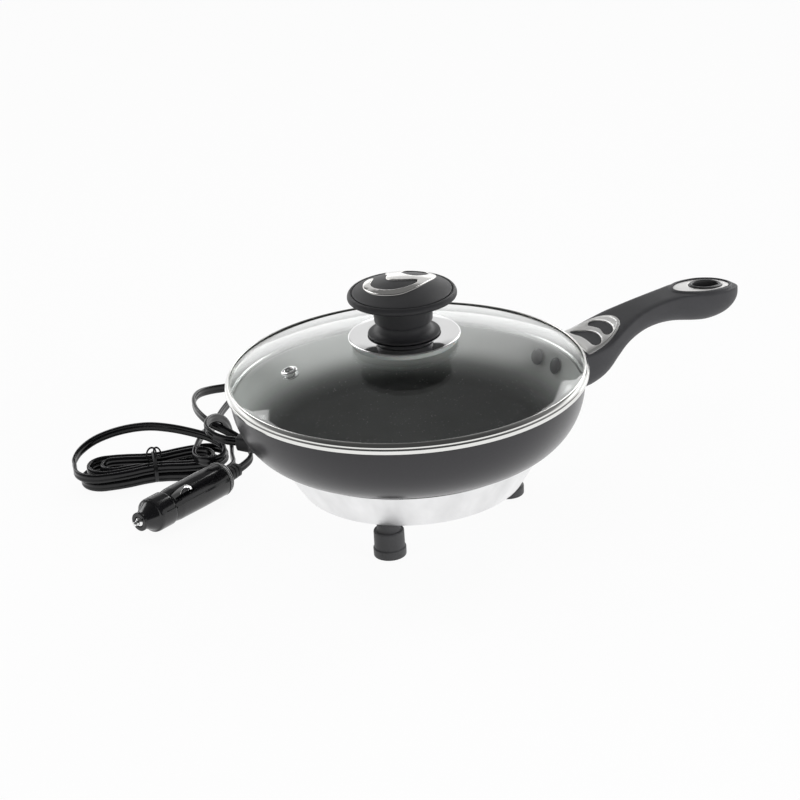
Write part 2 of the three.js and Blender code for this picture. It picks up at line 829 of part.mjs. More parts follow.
// The bracket's plate hugs the pan's wall and its tongue lies level in the handle
function makeHandle(group) {
  const plateTop = bracketCentreHeight + bracketHeight / 2;
  const plateBottom = bracketCentreHeight - bracketHeight / 2;
  const plateStart = panRadius - panFlatRadius;
  const saddle = panEnvelope(seatGap);
  const shellOuter = panEnvelope(seatGap + bracketThickness);
  const slab = new THREE.BoxGeometry(panFlatRadius, bracketHalfWidth * 2, plateTop - plateBottom);
  slab.translate(plateStart + panFlatRadius, 0, bracketCentreHeight);
  const plate = cut(common(slab, shellOuter), saddle);
  const tongueStart = panRadiusAt(bracketCentreHeight) + seatGap + bracketThickness / 2;
  const tongueBlank = (grow) => {
    const length = tongueLength + grow;
    const blank = new THREE.BoxGeometry(length, (tongueHalfWidth + grow) * 2, tongueThickness + grow * 2);
    return blank.translate(tongueStart + length / 2, 0, bracketCentreHeight);
  };
  const screwBore = cylinder(handleScrewRadius + seatGap, plateBottom - cutOverrun, plateTop + cutOverrun)
    .translate(handleScrewX, 0, 0);
  const bracket = cut(joined(plate, cut(tongueBlank(0), saddle)), ...rivetAngles.map(rivetBore), screwBore);
  piece(group, "handle_bracket", "steel", bracket);

  rivetAngles.forEach((angle, index) => {
    const headSeat = -panFloor - seatGap * 3;
    const tailSeat = seatGap * 2 + bracketThickness;
    const rivet = turned([
      [0, headSeat - rivetHeadHeight],
      [rivetHeadRadius * 0.6, headSeat - rivetHeadHeight * 0.85],
      [rivetHeadRadius, headSeat - rivetHeadHeight * 0.3],
      [rivetHeadRadius, headSeat],
      [rivetRadius, headSeat],
      [rivetRadius, tailSeat],
      [rivetTailRadius, tailSeat],
      [rivetTailRadius, tailSeat + rivetTailHeight],
      [0, tailSeat + rivetTailHeight],
    ], smallSides);
    piece(group, `rivet_${index + 1}`, "coatedPan", onPanWall(rivet, bracketCentreHeight, angle));
  });

  const bracketSeat = new THREE.BoxGeometry(panFlatRadius, (bracketHalfWidth + seatGap) * 2, bracketHeight + seatGap * 2);
  bracketSeat.translate(plateStart + panFlatRadius, 0, bracketCentreHeight);
  const seatSpace = common(bracketSeat, panEnvelope(seatGap + bracketThickness + slopeGap));
  const tailSpaces = rivetAngles.map((angle) => {
    const tailTop = seatGap * 4 + bracketThickness + rivetTailHeight;
    return onPanWall(cylinder(rivetTailRadius + seatGap * 2, 0, tailTop), bracketCentreHeight, angle);
  });
  const underside = handleBottomAt(handleScrewX);
  const headSeat = underside + handleScrewSink;
  const shankTop = bracketCentreHeight + tongueThickness / 2 + seatGap * 2;
  const headSpace = cylinder(handleScrewHeadRadius + seatGap, underside - cutOverrun, headSeat)
    .translate(handleScrewX, 0, 0);
  const shankSpace = cylinder(handleScrewRadius + seatGap, underside, shankTop + seatGap)
    .translate(handleScrewX, 0, 0);
  const bushHole = ellipse(hangHoleX, hangHoleHalfLength + hangBushWall + seatGap, hangHoleHalfWidth + hangBushWall + seatGap);
  const handle = cut(
    handleBlank(),
    panEnvelope(handleSaddleGap),
    seatSpace,
    tongueBlank(seatGap),
    ...tailSpaces,
    headSpace,
    shankSpace,
    trimSeat(rootPlateShape(), handleStartX, rootPlateEndX + cutOverrun, handleRootHalfWidth),
    trimSeat(endPlateShape(), endPlateStartX - cutOverrun, endPlateEndX + cutOverrun, handleRootHalfWidth),
    upright(bushHole, handleRootTopHeight - trimCutHeight, handleRootTopHeight + trimCutHeight),
  );
  piece(group, "handle_grip", "softBlack", handle);

  const screw = turned([
    [0, headSeat - seatGap - handleScrewHeadHeight],
    [handleScrewHeadRadius, headSeat - seatGap - handleScrewHeadHeight],
    [handleScrewHeadRadius, headSeat - seatGap],
    [handleScrewRadius, headSeat - seatGap],
    [handleScrewRadius, shankTop],
    [0, shankTop],
  ], smallSides);
  piece(group, "handle_screw", "steel", screw.translate(handleScrewX, 0, 0));
}

function makeTrims(group) {
  const shield = rootPlateShape();
  shield.holes.push(
    smoothOutline(spread(farCommaShares, rootPlateStartX, rootPlateLength, rootPlateHalfWidth), trimSteps / 2),
    smoothOutline(spread(nearCommaShares, rootPlateStartX, rootPlateLength, rootPlateHalfWidth), trimSteps / 2),
  );
  const plate = trimPlate(shield, handleStartX, rootPlateEndX + cutOverrun, handleRootHalfWidth);
  piece(group, "handle_root_plate", "chrome", cut(plate, panEnvelope(handleSaddleGap * 2)));

  const bushOuterLength = hangHoleHalfLength + hangBushWall;
  const bushOuterWidth = hangHoleHalfWidth + hangBushWall;
  const oval = endPlateShape();
  oval.holes.push(ellipse(hangHoleX, bushOuterLength + seatGap, bushOuterWidth + seatGap));
  piece(group, "handle_end_plate", "chrome",
    trimPlate(oval, endPlateStartX - cutOverrun, endPlateEndX + cutOverrun, handleRootHalfWidth));

  const ring = ellipse(hangHoleX, bushOuterLength, bushOuterWidth);
  ring.holes.push(ellipse(hangHoleX, hangHoleHalfLength, hangHoleHalfWidth));
  const bottom = handleBottomAt(hangHoleX);
  const top = handleTopAt(hangHoleX) + trimProud;
  piece(group, "hanging_bush", "softBlack", upright(ring, bottom, top));
}

// Lid
const glassEdgeRadius = lidRimRadius - lidRimWall - seatGap;
const domeRadius = (glassEdgeRadius ** 2 + glassRise ** 2) / (2 * glassRise);
const lidRimBottomHeight = panRimHeight + seatGap;

function glassTopAt(radius) {
  return glassApexHeight - domeRadius + Math.sqrt(domeRadius ** 2 - radius ** 2);
}

function onGlass(geometry) {
  const lean = Math.asin(ventDistance / domeRadius);
  geometry.rotateY(lean).translate(ventDistance, 0, glassTopAt(ventDistance));
  return geometry.rotateZ(radians(ventAngle));
}

function makeLid(group) {
  const top = [];
  for (let step = 0; step <= curveSteps; step += 1) {
    const radius = glassHoleRadius + ((glassEdgeRadius - glassHoleRadius) * step) / curveSteps;
    top.push([radius, glassTopAt(radius)]);
  }
  const bottom = top.map(([radius, height]) => [radius, height - glassThickness]);
  const vent = onGlass(cylinder(ventTubeRadius + seatGap, -glassThickness - cutOverrun, cutOverrun));
  piece(group, "lid_glass", "glass", cut(turned([...bottom, ...top.reverse()]), vent));

  const channelRadius = lidRimRadius - lidRimWall;
  const lipTop = glassTopAt(lidRimInnerRadius) + seatGap + lidRimBead;
  const edgeTop = glassTopAt(channelRadius) + seatGap + lidRimBead;
  piece(group, "lid_rim", "chrome", turned([
    [lidRimInnerRadius, lidRimBottomHeight],
    [channelRadius, lidRimBottomHeight],
    [lidRimRadius, lidRimBottomHeight + lidRimWall],
    [lidRimRadius, edgeTop - lidRimWall / 2],
    [channelRadius, edgeTop + lidRimWall / 2],
    [lidRimInnerRadius + lidRimWall, lipTop],
    [lidRimInnerRadius, lipTop - lidRimWall / 2],
    [lidRimInnerRadius, glassTopAt(lidRimInnerRadius) + slopeGap],
    [channelRadius, glassTopAt(channelRadius) + slopeGap],
    [channelRadius, glassTopAt(channelRadius) - glassThickness - slopeGap],
    [lidRimInnerRadius, glassTopAt(lidRimInnerRadius) - glassThickness - slopeGap],
  ]));

  const flangeTop = slopeGap + ventFlangeHeight;
  const under = -glassThickness - slopeGap;
  const eyelet = turned([
    [ventBoreRadius, under - ventFlangeHeight / 2],
    [ventFlangeRadius, under - ventFlangeHeight / 2],
    [ventFlangeRadius, under],
    [ventTubeRadius, under],
    [ventTubeRadius, slopeGap],
    [ventFlangeRadius, slopeGap],
    [ventFlangeRadius - ventFlangeHeight / 2, flangeTop - ventFlangeHeight / 4],
    [ventTubeRadius, flangeTop],
    [ventBoreRadius, flangeTop - ventFlangeHeight / 4],
  ], smallSides);
  piece(group, "steam_vent_eyelet", "chrome", onGlass(eyelet));
}

const knobPlateBottomHeight = gasketTopHeight + seatGap;
const knobPlateTopHeight = knobPlateBottomHeight + knobPlateRise;
const neckBottomHeight = knobPlateTopHeight + seatGap;

function makeKnobSeat(group) {
  const bore = knobScrewRadius + seatGap;
  const gasketUnder = [0, 1, 2, 3].map((step) => {
    const radius = bore + ((gasketRadius - bore) * step) / 3;
    return [radius, glassTopAt(radius) + slopeGap];
  });
  piece(group, "knob_gasket", "silicone", turned([
    ...gasketUnder,
    [gasketRadius, gasketTopHeight],
    [bore, gasketTopHeight],
  ], middleSides));
  const edgeTop = knobPlateBottomHeight + knobPlateEdge;
  piece(group, "knob_plate", "chrome", turned([
    [bore, knobPlateBottomHeight],
    [knobPlateRadius - knobPlateEdge / 2, knobPlateBottomHeight],
    [knobPlateRadius, knobPlateBottomHeight + knobPlateEdge / 2],
    [knobPlateRadius, edgeTop],
    [knobPlateRadius - knobPlateEdge, edgeTop + knobPlateEdge / 2],
    [skirtRingRadius + knobPlateRise, knobPlateTopHeight - knobPlateEdge / 4],
    [skirtRingRadius - knobPlateEdge, knobPlateTopHeight],
    [bore, knobPlateTopHeight],
  ], largeSides));
  const glassUnder = glassTopAt(bore) - glassThickness;
  const washerTop = glassTopAt(knobWasherRadius) - glassThickness - slopeGap;
  const washerBottom = washerTop - knobWasherThickness;
  piece(group, "knob_washer", "silicone", turned([
    [bore, washerBottom],
    [knobWasherRadius, washerBottom],
    [knobWasherRadius, washerTop],
    [bore, glassUnder - slopeGap],
  ], smallSides));
  const headTop = washerBottom - seatGap;
  piece(group, "knob_screw", "steel", turned([
    [0, headTop - knobScrewHeadHeight],
    [knobScrewHeadRadius * 0.8, headTop - knobScrewHeadHeight],
    [knobScrewHeadRadius, headTop - knobScrewHeadHeight / 2],
    [knobScrewHeadRadius, headTop],
    [knobScrewRadius, headTop],
    [knobScrewRadius, knobScrewTopHeight],
    [0, knobScrewTopHeight],
  ], smallSides));
}

const capSteps = 4;

// The cap's dome, from the apex down to the groove, raised by an offset
function capDomeAt(radius, offset) {
  const drop = capApexHeight - capGrooveHeight;
  return capApexHeight + offset - drop * (radius / capGrooveRadius) ** 2;
}

function capDomePoints(offset, steps) {
  const points = [];
  for (let step = 0; step <= steps; step += 1) {
    const radius = (capGrooveRadius * (steps - step)) / steps;
    points.push([radius, capDomeAt(radius, offset)]);
  }
  return points;
}

function makeKnob(group) {
  const bore = knobScrewRadius + seatGap;
  const boreTop = knobScrewTopHeight + seatGap;
  const flare = neckGrooveHeight - neckBottomHeight;
  const screwSpace = cylinder(bore, neckBottomHeight - cutOverrun, boreTop);
  const neckBlank = turned([
    [0, neckBottomHeight],
    [skirtRingRadius, neckBottomHeight],
    [skirtRingRadius, neckBottomHeight + flare * 0.2],
    [neckRadius + (skirtRingRadius - neckRadius) * 0.25, neckBottomHeight + flare * 0.75],
    [neckRadius, neckGrooveHeight - neckGrooveDepth / 2],
    [neckRadius - neckGrooveDepth, neckGrooveHeight],
    [neckRadius, neckGrooveHeight + neckGrooveDepth / 2],
    [neckRadius, neckTopHeight],
    [spigotRadius, neckTopHeight],
    [spigotRadius, neckTopHeight + spigotHeight],
    [0, neckTopHeight + spigotHeight],
  ], middleSides);
  piece(group, "knob_neck", "softBlack", cut(neckBlank, screwSpace));
  const socketTop = neckTopHeight + spigotHeight + seatGap;
  piece(group, "knob_cap", "softBlack", turned([
    [0, socketTop],
    [spigotRadius + seatGap, socketTop],
    [spigotRadius + seatGap, capBottomHeight],
    [capGrooveRadius * 0.84, capBottomHeight + (capEdgeHeight - capBottomHeight) * 0.15],
    [capGrooveRadius, capBottomHeight + (capEdgeHeight - capBottomHeight) * 0.5],
    [capRadius, capEdgeHeight],
    [capRadius - neckGrooveDepth / 4, capEdgeHeight + (capGrooveHeight - capEdgeHeight) * 0.6],
    [capGrooveRadius + neckGrooveDepth, capGrooveHeight],
    [capGrooveRadius + neckGrooveDepth / 2, capGrooveHeight - neckGrooveDepth],
    ...capDomePoints(0, capSteps),
  ], largeSides - smallSides / 2));
}

// Swirl inlay: half of its outline and one comma opening, which a half turn repeats
const inlayOutlineShares = [
  [0.91, 0.31], [0.6, -0.2], [0.27, -0.65], [-0.04, -0.93], [-0.37, -1.02], [-0.68, -0.95], [-0.91, -0.68],
];
const inlayCommaShares = [
  [0.36, -0.1], [0.1, -0.07], [-0.16, -0.06], [-0.36, -0.03], [-0.52, 0.04], [-0.64, -0.01],
  [-0.73, -0.2], [-0.72, -0.4], [-0.57, -0.57], [-0.3, -0.62], [-0.04, -0.48], [0.2, -0.26],
];

function makeInlay(group) {
  const placed = (shares, turn) => shares.map(([x, y]) => [x * inlaySize * turn, y * inlaySize * turn]);
  const shape = smoothOutline([...placed(inlayOutlineShares, 1), ...placed(inlayOutlineShares, -1)], trimSteps);
  shape.holes.push(
    smoothOutline(placed(inlayCommaShares, 1), trimSteps / 2),
    smoothOutline(placed(inlayCommaShares, -1), trimSteps / 2),
  );
  const plate = upright(shape, capGrooveHeight, capApexHeight + cutOverrun).rotateZ(radians(inlayTurn));
  const lower = capDomePoints(slopeGap, capSteps);
  const upper = capDomePoints(slopeGap + inlayThickness, capSteps);
  const under = capGrooveHeight - cutOverrun;
  const shell = cut(
    turned([[0, capGrooveHeight], ...upper], middleSides),
    turned([[0, under], [capGrooveRadius, under], ...lower], middleSides),
  );
  piece(group, "knob_inlay", "chrome", common(plate, shell));
}

// How much of the cord's half thickness its rounded edge keeps
const edgeShare = 0.42;

// Flat twin cord: the section's first axis stands upright on a level run, so the cord lies on edge.
// A pointed section has six corners and the other has eight.
function cordSection(pointed) {
  const radius = cordThickness / 2;
  const flat = cordWidth / 2 - radius;
  const quarter = [[flat, radius], [-flat, radius]];
  const half = pointed
    ? [[cordWidth / 2, 0], ...quarter]
    : [[cordWidth / 2, radius * edgeShare], ...quarter, [-cordWidth / 2, radius * edgeShare]];
  return [...half, ...half.map(([high, wide]) => [-high, -wide])];
}

const hankEndRun = cordWidth;

// A loop of the hank has two straight runs and two half circles; the share of a turn that each takes
const foldShare = hankStepsPerFold / hankStepsPerTurn;
const straightShare = 1 / 2 - foldShare;

// A place on a loop, as a share of its turn from the middle of one fold, in the loop's own plane
function loopPoint(share, halfLength, halfWidth) {
  const straight = halfLength - halfWidth;
  const half = share < 1 / 2 ? share : share - 1 / 2;
  const way = share < 1 / 2 ? 1 : -1;
  let [along, across] = [-straight, 0];
  if (half < foldShare / 2) {
    const angle = (Math.PI * half) / foldShare;
    [along, across] = [straight + halfWidth * Math.cos(angle), -halfWidth * Math.sin(angle)];
  } else if (half < foldShare / 2 + straightShare) {
    along = straight * (1 - (2 * (half - foldShare / 2)) / straightShare);
    across = -halfWidth;
  } else {
    const angle = (Math.PI * (1 / 2 - half)) / foldShare;
    [along, across] = [-straight - halfWidth * Math.cos(angle), -halfWidth * Math.sin(angle)];
  }
  return [along * way, across * way];
}

// The hank winds inwards in its lower layer, rises on a straight run and winds outwards in its upper layer
function hankPoint(turn) {
  const middle = hankTurns / 2;
  const rise = straightShare * 0.7;
  const level = Math.min(Math.max((turn - middle) / rise + 1 / 2, 0), 1);
  const layer = level * level * (3 - 2 * level);
  const inward = Math.min(turn, hankTurns - turn);
  const halfLength = hankHalfLength - hankLengthStep * inward;
  const [along, across] = loopPoint(turn % 1, halfLength, hankHalfWidth - hankWidthStep * inward);
  const pinch = hankPinch * Math.exp(-((along / hankPinchLength) ** 2));
  const height = hankFirstHeight + hankLayerHeight * layer;
  return new THREE.Vector3(along, across - Math.sign(across) * pinch, height);
}

function hankRoute() {
  const steps = hankTurns * hankStepsPerTurn;
  const points = [];
  for (let step = 0; step <= steps; step += 1) points.push(hankPoint(step / hankStepsPerTurn));
  const first = points[0].clone();
  const last = points[points.length - 1].clone();
  first.y += hankEndRun;
  last.y += hankEndRun;
  return [first, ...points, last];
}

// Rings of an upright flat section along a route that stays nearly level
function levelTube(route, section) {
  const up = new THREE.Vector3(0, 0, 1);
  const rings = route.map((point, index) => {
    const before = route[Math.max(index - 1, 0)];
    const after = route[Math.min(index + 1, route.length - 1)];
    const forward = after.clone().sub(before).normalize();
    const side = forward.clone().cross(up).normalize();
    const lift = side.clone().cross(forward);
    return section.map(([high, wide]) => {
      const corner = point.clone().addScaledVector(lift, high).addScaledVector(side, wide);
      return corner.toArray();
    });
  });
  return ringSolid(rings);
}

// The least distance between the centre lines of two runs of the hank, less what the section takes up
function hankLeastGap(route) {
  const apart = hankStepsPerTurn / 4;
  const flat = route.map((point) => point.clone().setZ(0));
  const nearest = new THREE.Vector3();
  let least = Infinity;
  for (let i = 0; i < route.length; i += 1) {
    for (let j = 0; j + 1 < route.length; j += 1) {
      if (Math.abs(i - j) < apart) continue;
      new THREE.Line3(flat[j], flat[j + 1]).closestPointToPoint(flat[i], true, nearest);
      const height = Math.min(Math.abs(route[i].z - route[j].z), Math.abs(route[i].z - route[j + 1].z));
      const gap = Math.max(nearest.distanceTo(flat[i]) - cordThickness, height - cordWidth);
      least = Math.min(least, gap);
    }
  }
  return least;
}

function placeHank(geometry) {
  return geometry.rotateZ(radians(hankAngle)).translate(hankCentre[0], hankCentre[1], 0);
}

function makeHank(group) {
  const route = hankRoute();
  console.log(`least gap between the hank's turns: ${hankLeastGap(route).toFixed(2)} mm`);
  piece(group, "cord_hank", "cordBlack", placeHank(levelTube(route, cordSection(true))));

  const halfWide = hankHalfWidth - hankPinch + cordThickness / 2 + seatGap;
  const low = hankFirstHeight - cordWidth / 2 - seatGap;
  const high = hankFirstHeight + hankLayerHeight + cordWidth / 2 + seatGap;
  const loop = (grow) => outline([
    [-halfWide - grow, low - grow], [halfWide + grow, low - grow],
    [halfWide + grow, high + grow], [-halfWide - grow, high + grow],
  ]);
  const band = loop(tieThickness);
  band.holes.push(loop(0));
  const tie = new THREE.ExtrudeGeometry(band, { depth: tieWidth, bevelEnabled: false });
  tie.translate(0, 0, -tieWidth / 2).rotateX(quarterTurn).rotateZ(quarterTurn);
  piece(group, "cord_tie", "softBlack", placeHank(tie));
}

// Free stretches of the cord, points chosen by hand to follow the way it lies
const leadPoints = [
  [-74.2, 88.4, 33.2], [-78.4, 95.5, 34.5], [-78.5, 105.5, 36], [-72, 114.5, 36], [-62.5, 121.5, 32.5],
  [-54.5, 127, 24.5], [-50.5, 130.8, 14.5], [-50.8, 130.6, 7],
];
const tailPoints = [
  [-140.8, 163.4, 10.6], [-134, 169.5, 13], [-125, 170, 17], [-116, 165.5, 21], [-106, 158, 24.5], [-96.5, 148, 27],
  [-88, 137, 27.5], [-80, 126.5, 26.5], [-72.5, 116, 24.5], [-68.5, 106, 21.5], [-72, 98.8, 18.6],
  [-79.5, 98.5, 17.4], [-84.5, 104.5, 16.9], [-84, 113.5, 16.6], [-77, 124, 17.2], [-67, 136, 17.2], [-57.5, 149, 12],
  [-49.5, 161.5, 5], [-41.5, 172, 4], [-31, 184, 4], [-20, 194.5, 4.2], [-9, 202.5, 5.5], [2, 204.5, 9],
  [9, 198.5, 13], [8, 189.5, 16.5], [-1, 184, 19], [-14, 182.5, 20.5], [-26, 182.5, 21.5], [-37, 182, 23],
  [-47, 177.5, 25], [-55.5, 168, 26.5], [-61.5, 154.5, 27], [-64, 141, 27], [-63, 130.5, 25.5], [-58.5, 121.5, 23],
  [-54.5, 112.5, 20], [-52.5, 104, 16.5], [-55, 97.2, 12.8],
];

function endRun(point, direction, first, second) {
  return [point.clone().addScaledVector(direction, first), point.clone().addScaledVector(direction, second)];
}

function freeTube(start, points, end, steps) {
  const curve = new THREE.CatmullRomCurve3([...start, ...points.map((p) => new THREE.Vector3(...p)), ...end]);
  const section = outline(cordSection(false));
  return tube(curve, section, steps);
}

function makeFreeCord(group, hankStart, hankEnd, hankSide) {
  const bootOut = new THREE.Vector3(Math.cos(radians(bootAngle)), Math.sin(radians(bootAngle)), 0);
  const bootEnd = bootOut.clone().multiplyScalar(bootEndDistance).setZ(bootHeight);
  const leadSteps = 26;
  const lead = freeTube(
    endRun(bootEnd, bootOut, seatGap, seatGap + cordWidth / 2),
    leadPoints,
    endRun(hankStart, hankSide, seatGap + cordWidth / 2, seatGap),
    leadSteps,
  );
  piece(group, "cord_lead", "cordBlack", lead);

  const plugOut = new THREE.Vector3(Math.cos(radians(plugAngle)), Math.sin(radians(plugAngle)), 0);
  const sleeveEnd = new THREE.Vector3(plugTipPlace[0], plugTipPlace[1], plugAxisHeight);
  sleeveEnd.addScaledVector(plugOut, plugRearDistance + seatGap + sleeveLength);
  const tailSteps = 62;
  const tail = freeTube(
    endRun(hankEnd, hankSide, seatGap, seatGap + cordWidth / 2),
    tailPoints,
    endRun(sleeveEnd, plugOut, seatGap + cordWidth / 2, seatGap),
    tailSteps,
  );
  piece(group, "cord_tail", "cordBlack", tail);
}

// Plug pieces are turned about their own Z axis, which then lies along the plug
function makePlug(group) {
  const spigotEnd = noseRearDistance;
  const boreEnd = springStart() + springLength + fuseLength + seatGap * 3;
  const bandRadius = plugRadius - bandDepth;
  const body = turned([
    [plugSpigotRadius, spigotStartDistance],
    [plugSpigotRadius, spigotEnd + seatGap],
    [noseRadius, spigotEnd + seatGap],
    [plugRadius, contactStartDistance + contactLength],
    [plugRadius, bandDistance - seatGap],
    [bandRadius, bandDistance - seatGap],
    [bandRadius, bandDistance + bandWidth + seatGap],
    [plugRadius, bandDistance + bandWidth + seatGap],
    [plugRearRadius, plugRearDistance],
    [0, plugRearDistance],
    [0, spigotStartDistance],
  ], largeSides / 2);
  const bore = cylinder(plugBoreRadius, spigotStartDistance - cutOverrun, boreEnd);
  const slots = contactRolls.map((roll) => {
    const slot = new THREE.BoxGeometry(plugRadius, contactWidth + seatGap * 2, contactLength + seatGap * 2);
    const slotFloor = contactSeatRadius() - contactTravel - seatGap;
    slot.translate(slotFloor + plugRadius / 2, 0, contactStartDistance + contactLength / 2);
    return slot.rotateZ(roll);
  });
  piece(group, "plug_body", "plugBlack", cut(body, bore, ...slots));

  piece(group, "plug_nose", "greyPlastic", turned([
    [tipRadius + seatGap, noseFrontDistance],
    [noseFrontRadius, noseFrontDistance],
    [noseFrontRadius + (noseRadius - noseFrontRadius) / 2, noseFrontDistance + noseWall],
    [noseRadius, spigotStartDistance],
    [noseRadius, noseRearDistance],
    [plugSpigotRadius + seatGap, noseRearDistance],
    [plugSpigotRadius + seatGap, spigotStartDistance - seatGap],
    [plugBoreRadius, spigotStartDistance - seatGap],
    [plugBoreRadius, noseFrontDistance + noseWall],
    [tipRadius + seatGap, noseFrontDistance + noseWall],
  ], largeSides / 2));

  const tipBack = noseFrontDistance + noseWall + seatGap + tipFlangeThickness;
  piece(group, "plug_tip", "steel", turned([
    [0, 0],
    [tipRadius / 2, 0],
    [tipRadius, tipRadius / 2],
    [tipRadius, tipBack - tipFlangeThickness],
    [tipFlangeRadius, tipBack - tipFlangeThickness],
    [tipFlangeRadius, tipBack],
    [0, tipBack],
  ], smallSides));

  piece(group, "plug_spring", "steel", springCoil());
  const fuseStart = springStart() + springLength + seatGap;
  piece(group, "plug_fuse", "brass", cylinder(fuseRadius, fuseStart, fuseStart + fuseLength));
  piece(group, "plug_band", "greyPlastic", turned([
    [bandRadius + seatGap, bandDistance],
    [plugRadius + bandDepth / 4, bandDistance],
    [plugRadius + bandDepth / 4, bandDistance + bandWidth],
    [bandRadius + seatGap, bandDistance + bandWidth],
  ], largeSides / 2));

  const sleeveStart = plugRearDistance + seatGap;
  const ribs = [];
  for (let rib = 0; rib < sleeveRibs; rib += 1) {
    const from = sleeveStart + (sleeveLength * rib) / sleeveRibs;
    const pitch = sleeveLength / sleeveRibs;
    const radius = sleeveRadius - ((sleeveRadius - cordWidth / 2) * rib) / (sleeveRibs * 2);
    ribs.push([radius, from], [radius, from + pitch / 2], [radius * 0.86, from + pitch * 0.6], [radius * 0.86, from + pitch]);
  }
  piece(group, "plug_sleeve", "cordBlack", turned([[0, sleeveStart], ...ribs, [0, sleeveStart + sleeveLength]], smallSides));

  contactRolls.forEach((roll, index) => {
    piece(group, `plug_side_contact_${index + 1}`, "steel", sideContact().rotateZ(roll));
  });
}

// The plug's own +Z lies along its axis and its own +X points down, before the roll
const contactRolls = [radians(180 + contactRoll), radians(contactRoll)];

function contactSeatRadius() {
  return plugRadius - contactThickness - contactBulge;
}

function springStart() {
  return noseFrontDistance + noseWall + seatGap * 2 + tipFlangeThickness;
}

class SpringHelix extends THREE.Curve {
  getPoint(share, target = new THREE.Vector3()) {
    const angle = fullTurn * springTurns * share;
    const radius = tipFlangeRadius - springWireRadius * 2;
    const run = springLength - springWireRadius * 2;
    const place = springStart() + springWireRadius + run * share;
    return target.set(radius * Math.cos(angle), radius * Math.sin(angle), place);
  }
}

function springCoil() {
  const sides = 5;
  const stepsPerTurn = 8;
  return tube(new SpringHelix(), roundSection(springWireRadius, sides), springTurns * stepsPerTurn);
}

// A bowed strip: its middle stands proud of the plug and its ends lie in the slot
function sideContact() {
  const outer = [];
  const inner = [];
  const steps = curveSteps + 1;
  for (let step = 0; step <= steps; step += 1) {
    const share = step / steps;
    const bow = Math.sin(Math.PI * share) * contactBulge * 2;
    const along = contactStartDistance + contactLength * share;
    inner.push([contactSeatRadius() + bow, along]);
    outer.push([contactSeatRadius() + contactThickness + bow, along]);
  }
  const side = outline([...inner, ...outer.reverse()]);
  const strip = new THREE.ExtrudeGeometry(side, { depth: contactWidth, bevelEnabled: false });
  return strip.translate(0, 0, -contactWidth / 2).rotateX(quarterTurn);
}

const skillet = new THREE.Group();
const onPanAxis = new THREE.Group();
onPanAxis.position.set(panAxisX, 0, 0);
skillet.add(onPanAxis);

const panGroup = new THREE.Group();
makePan(panGroup);
makeSkirt(panGroup);
makeCover(panGroup);
makeFeet(panGroup);
makeHeater(panGroup);
makeHandle(panGroup);
makeTrims(panGroup);
onPanAxis.add(panGroup);

const lidGroup = new THREE.Group();
makeLid(lidGroup);
makeKnobSeat(lidGroup);
makeKnob(lidGroup);
makeInlay(lidGroup);
onPanAxis.add(lidGroup);

const cordGroup = new THREE.Group();
makeBoot(cordGroup);
makeHank(cordGroup);
const hankTurnZ = new THREE.Matrix4().makeRotationZ(radians(hankAngle));
const hankOffset = new THREE.Vector3(hankCentre[0], hankCentre[1], 0);
const hankEnds = hankRoute();
const hankStart = hankEnds[0].clone().applyMatrix4(hankTurnZ).add(hankOffset);
const hankEnd = hankEnds[hankEnds.length - 1].clone().applyMatrix4(hankTurnZ).add(hankOffset);
const hankSide = new THREE.Vector3(0, 1, 0).applyMatrix4(hankTurnZ);
makeFreeCord(cordGroup, hankStart, hankEnd, hankSide);
onPanAxis.add(cordGroup);

const plugGroup = new THREE.Group();
makePlug(plugGroup);
plugGroup.rotation.set(0, quarterTurn, 0);
const plugTurn = new THREE.Group();
plugTurn.add(plugGroup);
plugTurn.position.set(plugTipPlace[0], plugTipPlace[1], plugAxisHeight);
plugTurn.rotation.z = radians(plugAngle);
onPanAxis.add(plugTurn);

export default skillet;
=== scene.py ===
import functools
import json
import math

import bmesh
import bpy
from bpy.props import FloatProperty, FloatVectorProperty, PointerProperty
from mathutils import Matrix, Vector

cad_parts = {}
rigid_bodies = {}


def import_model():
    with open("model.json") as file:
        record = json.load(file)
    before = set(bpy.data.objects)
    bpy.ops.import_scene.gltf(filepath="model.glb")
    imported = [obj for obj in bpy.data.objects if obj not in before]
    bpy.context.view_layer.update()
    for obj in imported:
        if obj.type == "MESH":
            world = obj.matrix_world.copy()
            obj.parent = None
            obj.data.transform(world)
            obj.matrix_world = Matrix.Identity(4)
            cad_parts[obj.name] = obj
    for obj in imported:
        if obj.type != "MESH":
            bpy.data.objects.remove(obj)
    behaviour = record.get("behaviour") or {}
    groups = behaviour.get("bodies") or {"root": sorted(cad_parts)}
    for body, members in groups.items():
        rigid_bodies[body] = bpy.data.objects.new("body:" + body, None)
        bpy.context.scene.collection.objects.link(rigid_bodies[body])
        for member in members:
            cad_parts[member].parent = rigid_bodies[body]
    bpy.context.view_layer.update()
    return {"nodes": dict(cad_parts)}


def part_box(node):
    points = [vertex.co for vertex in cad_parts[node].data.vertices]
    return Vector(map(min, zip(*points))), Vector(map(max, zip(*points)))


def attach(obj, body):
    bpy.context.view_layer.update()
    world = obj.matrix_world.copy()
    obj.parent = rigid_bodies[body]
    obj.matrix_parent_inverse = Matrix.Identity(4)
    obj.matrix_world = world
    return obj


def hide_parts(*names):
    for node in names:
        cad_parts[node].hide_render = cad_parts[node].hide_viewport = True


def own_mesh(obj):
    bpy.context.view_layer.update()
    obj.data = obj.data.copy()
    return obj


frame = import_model()

bl_info = {
    "name": "Travel Skillet",
    "version": (1, 0, 0),
    "blender": (4, 5, 0),
    "location": "3D View > Sidebar > Skillet",
    "description": "A twelve volt travel frying pan with its glass lid, heater base, cord and lighter plug",
    "category": "Add Mesh",
}

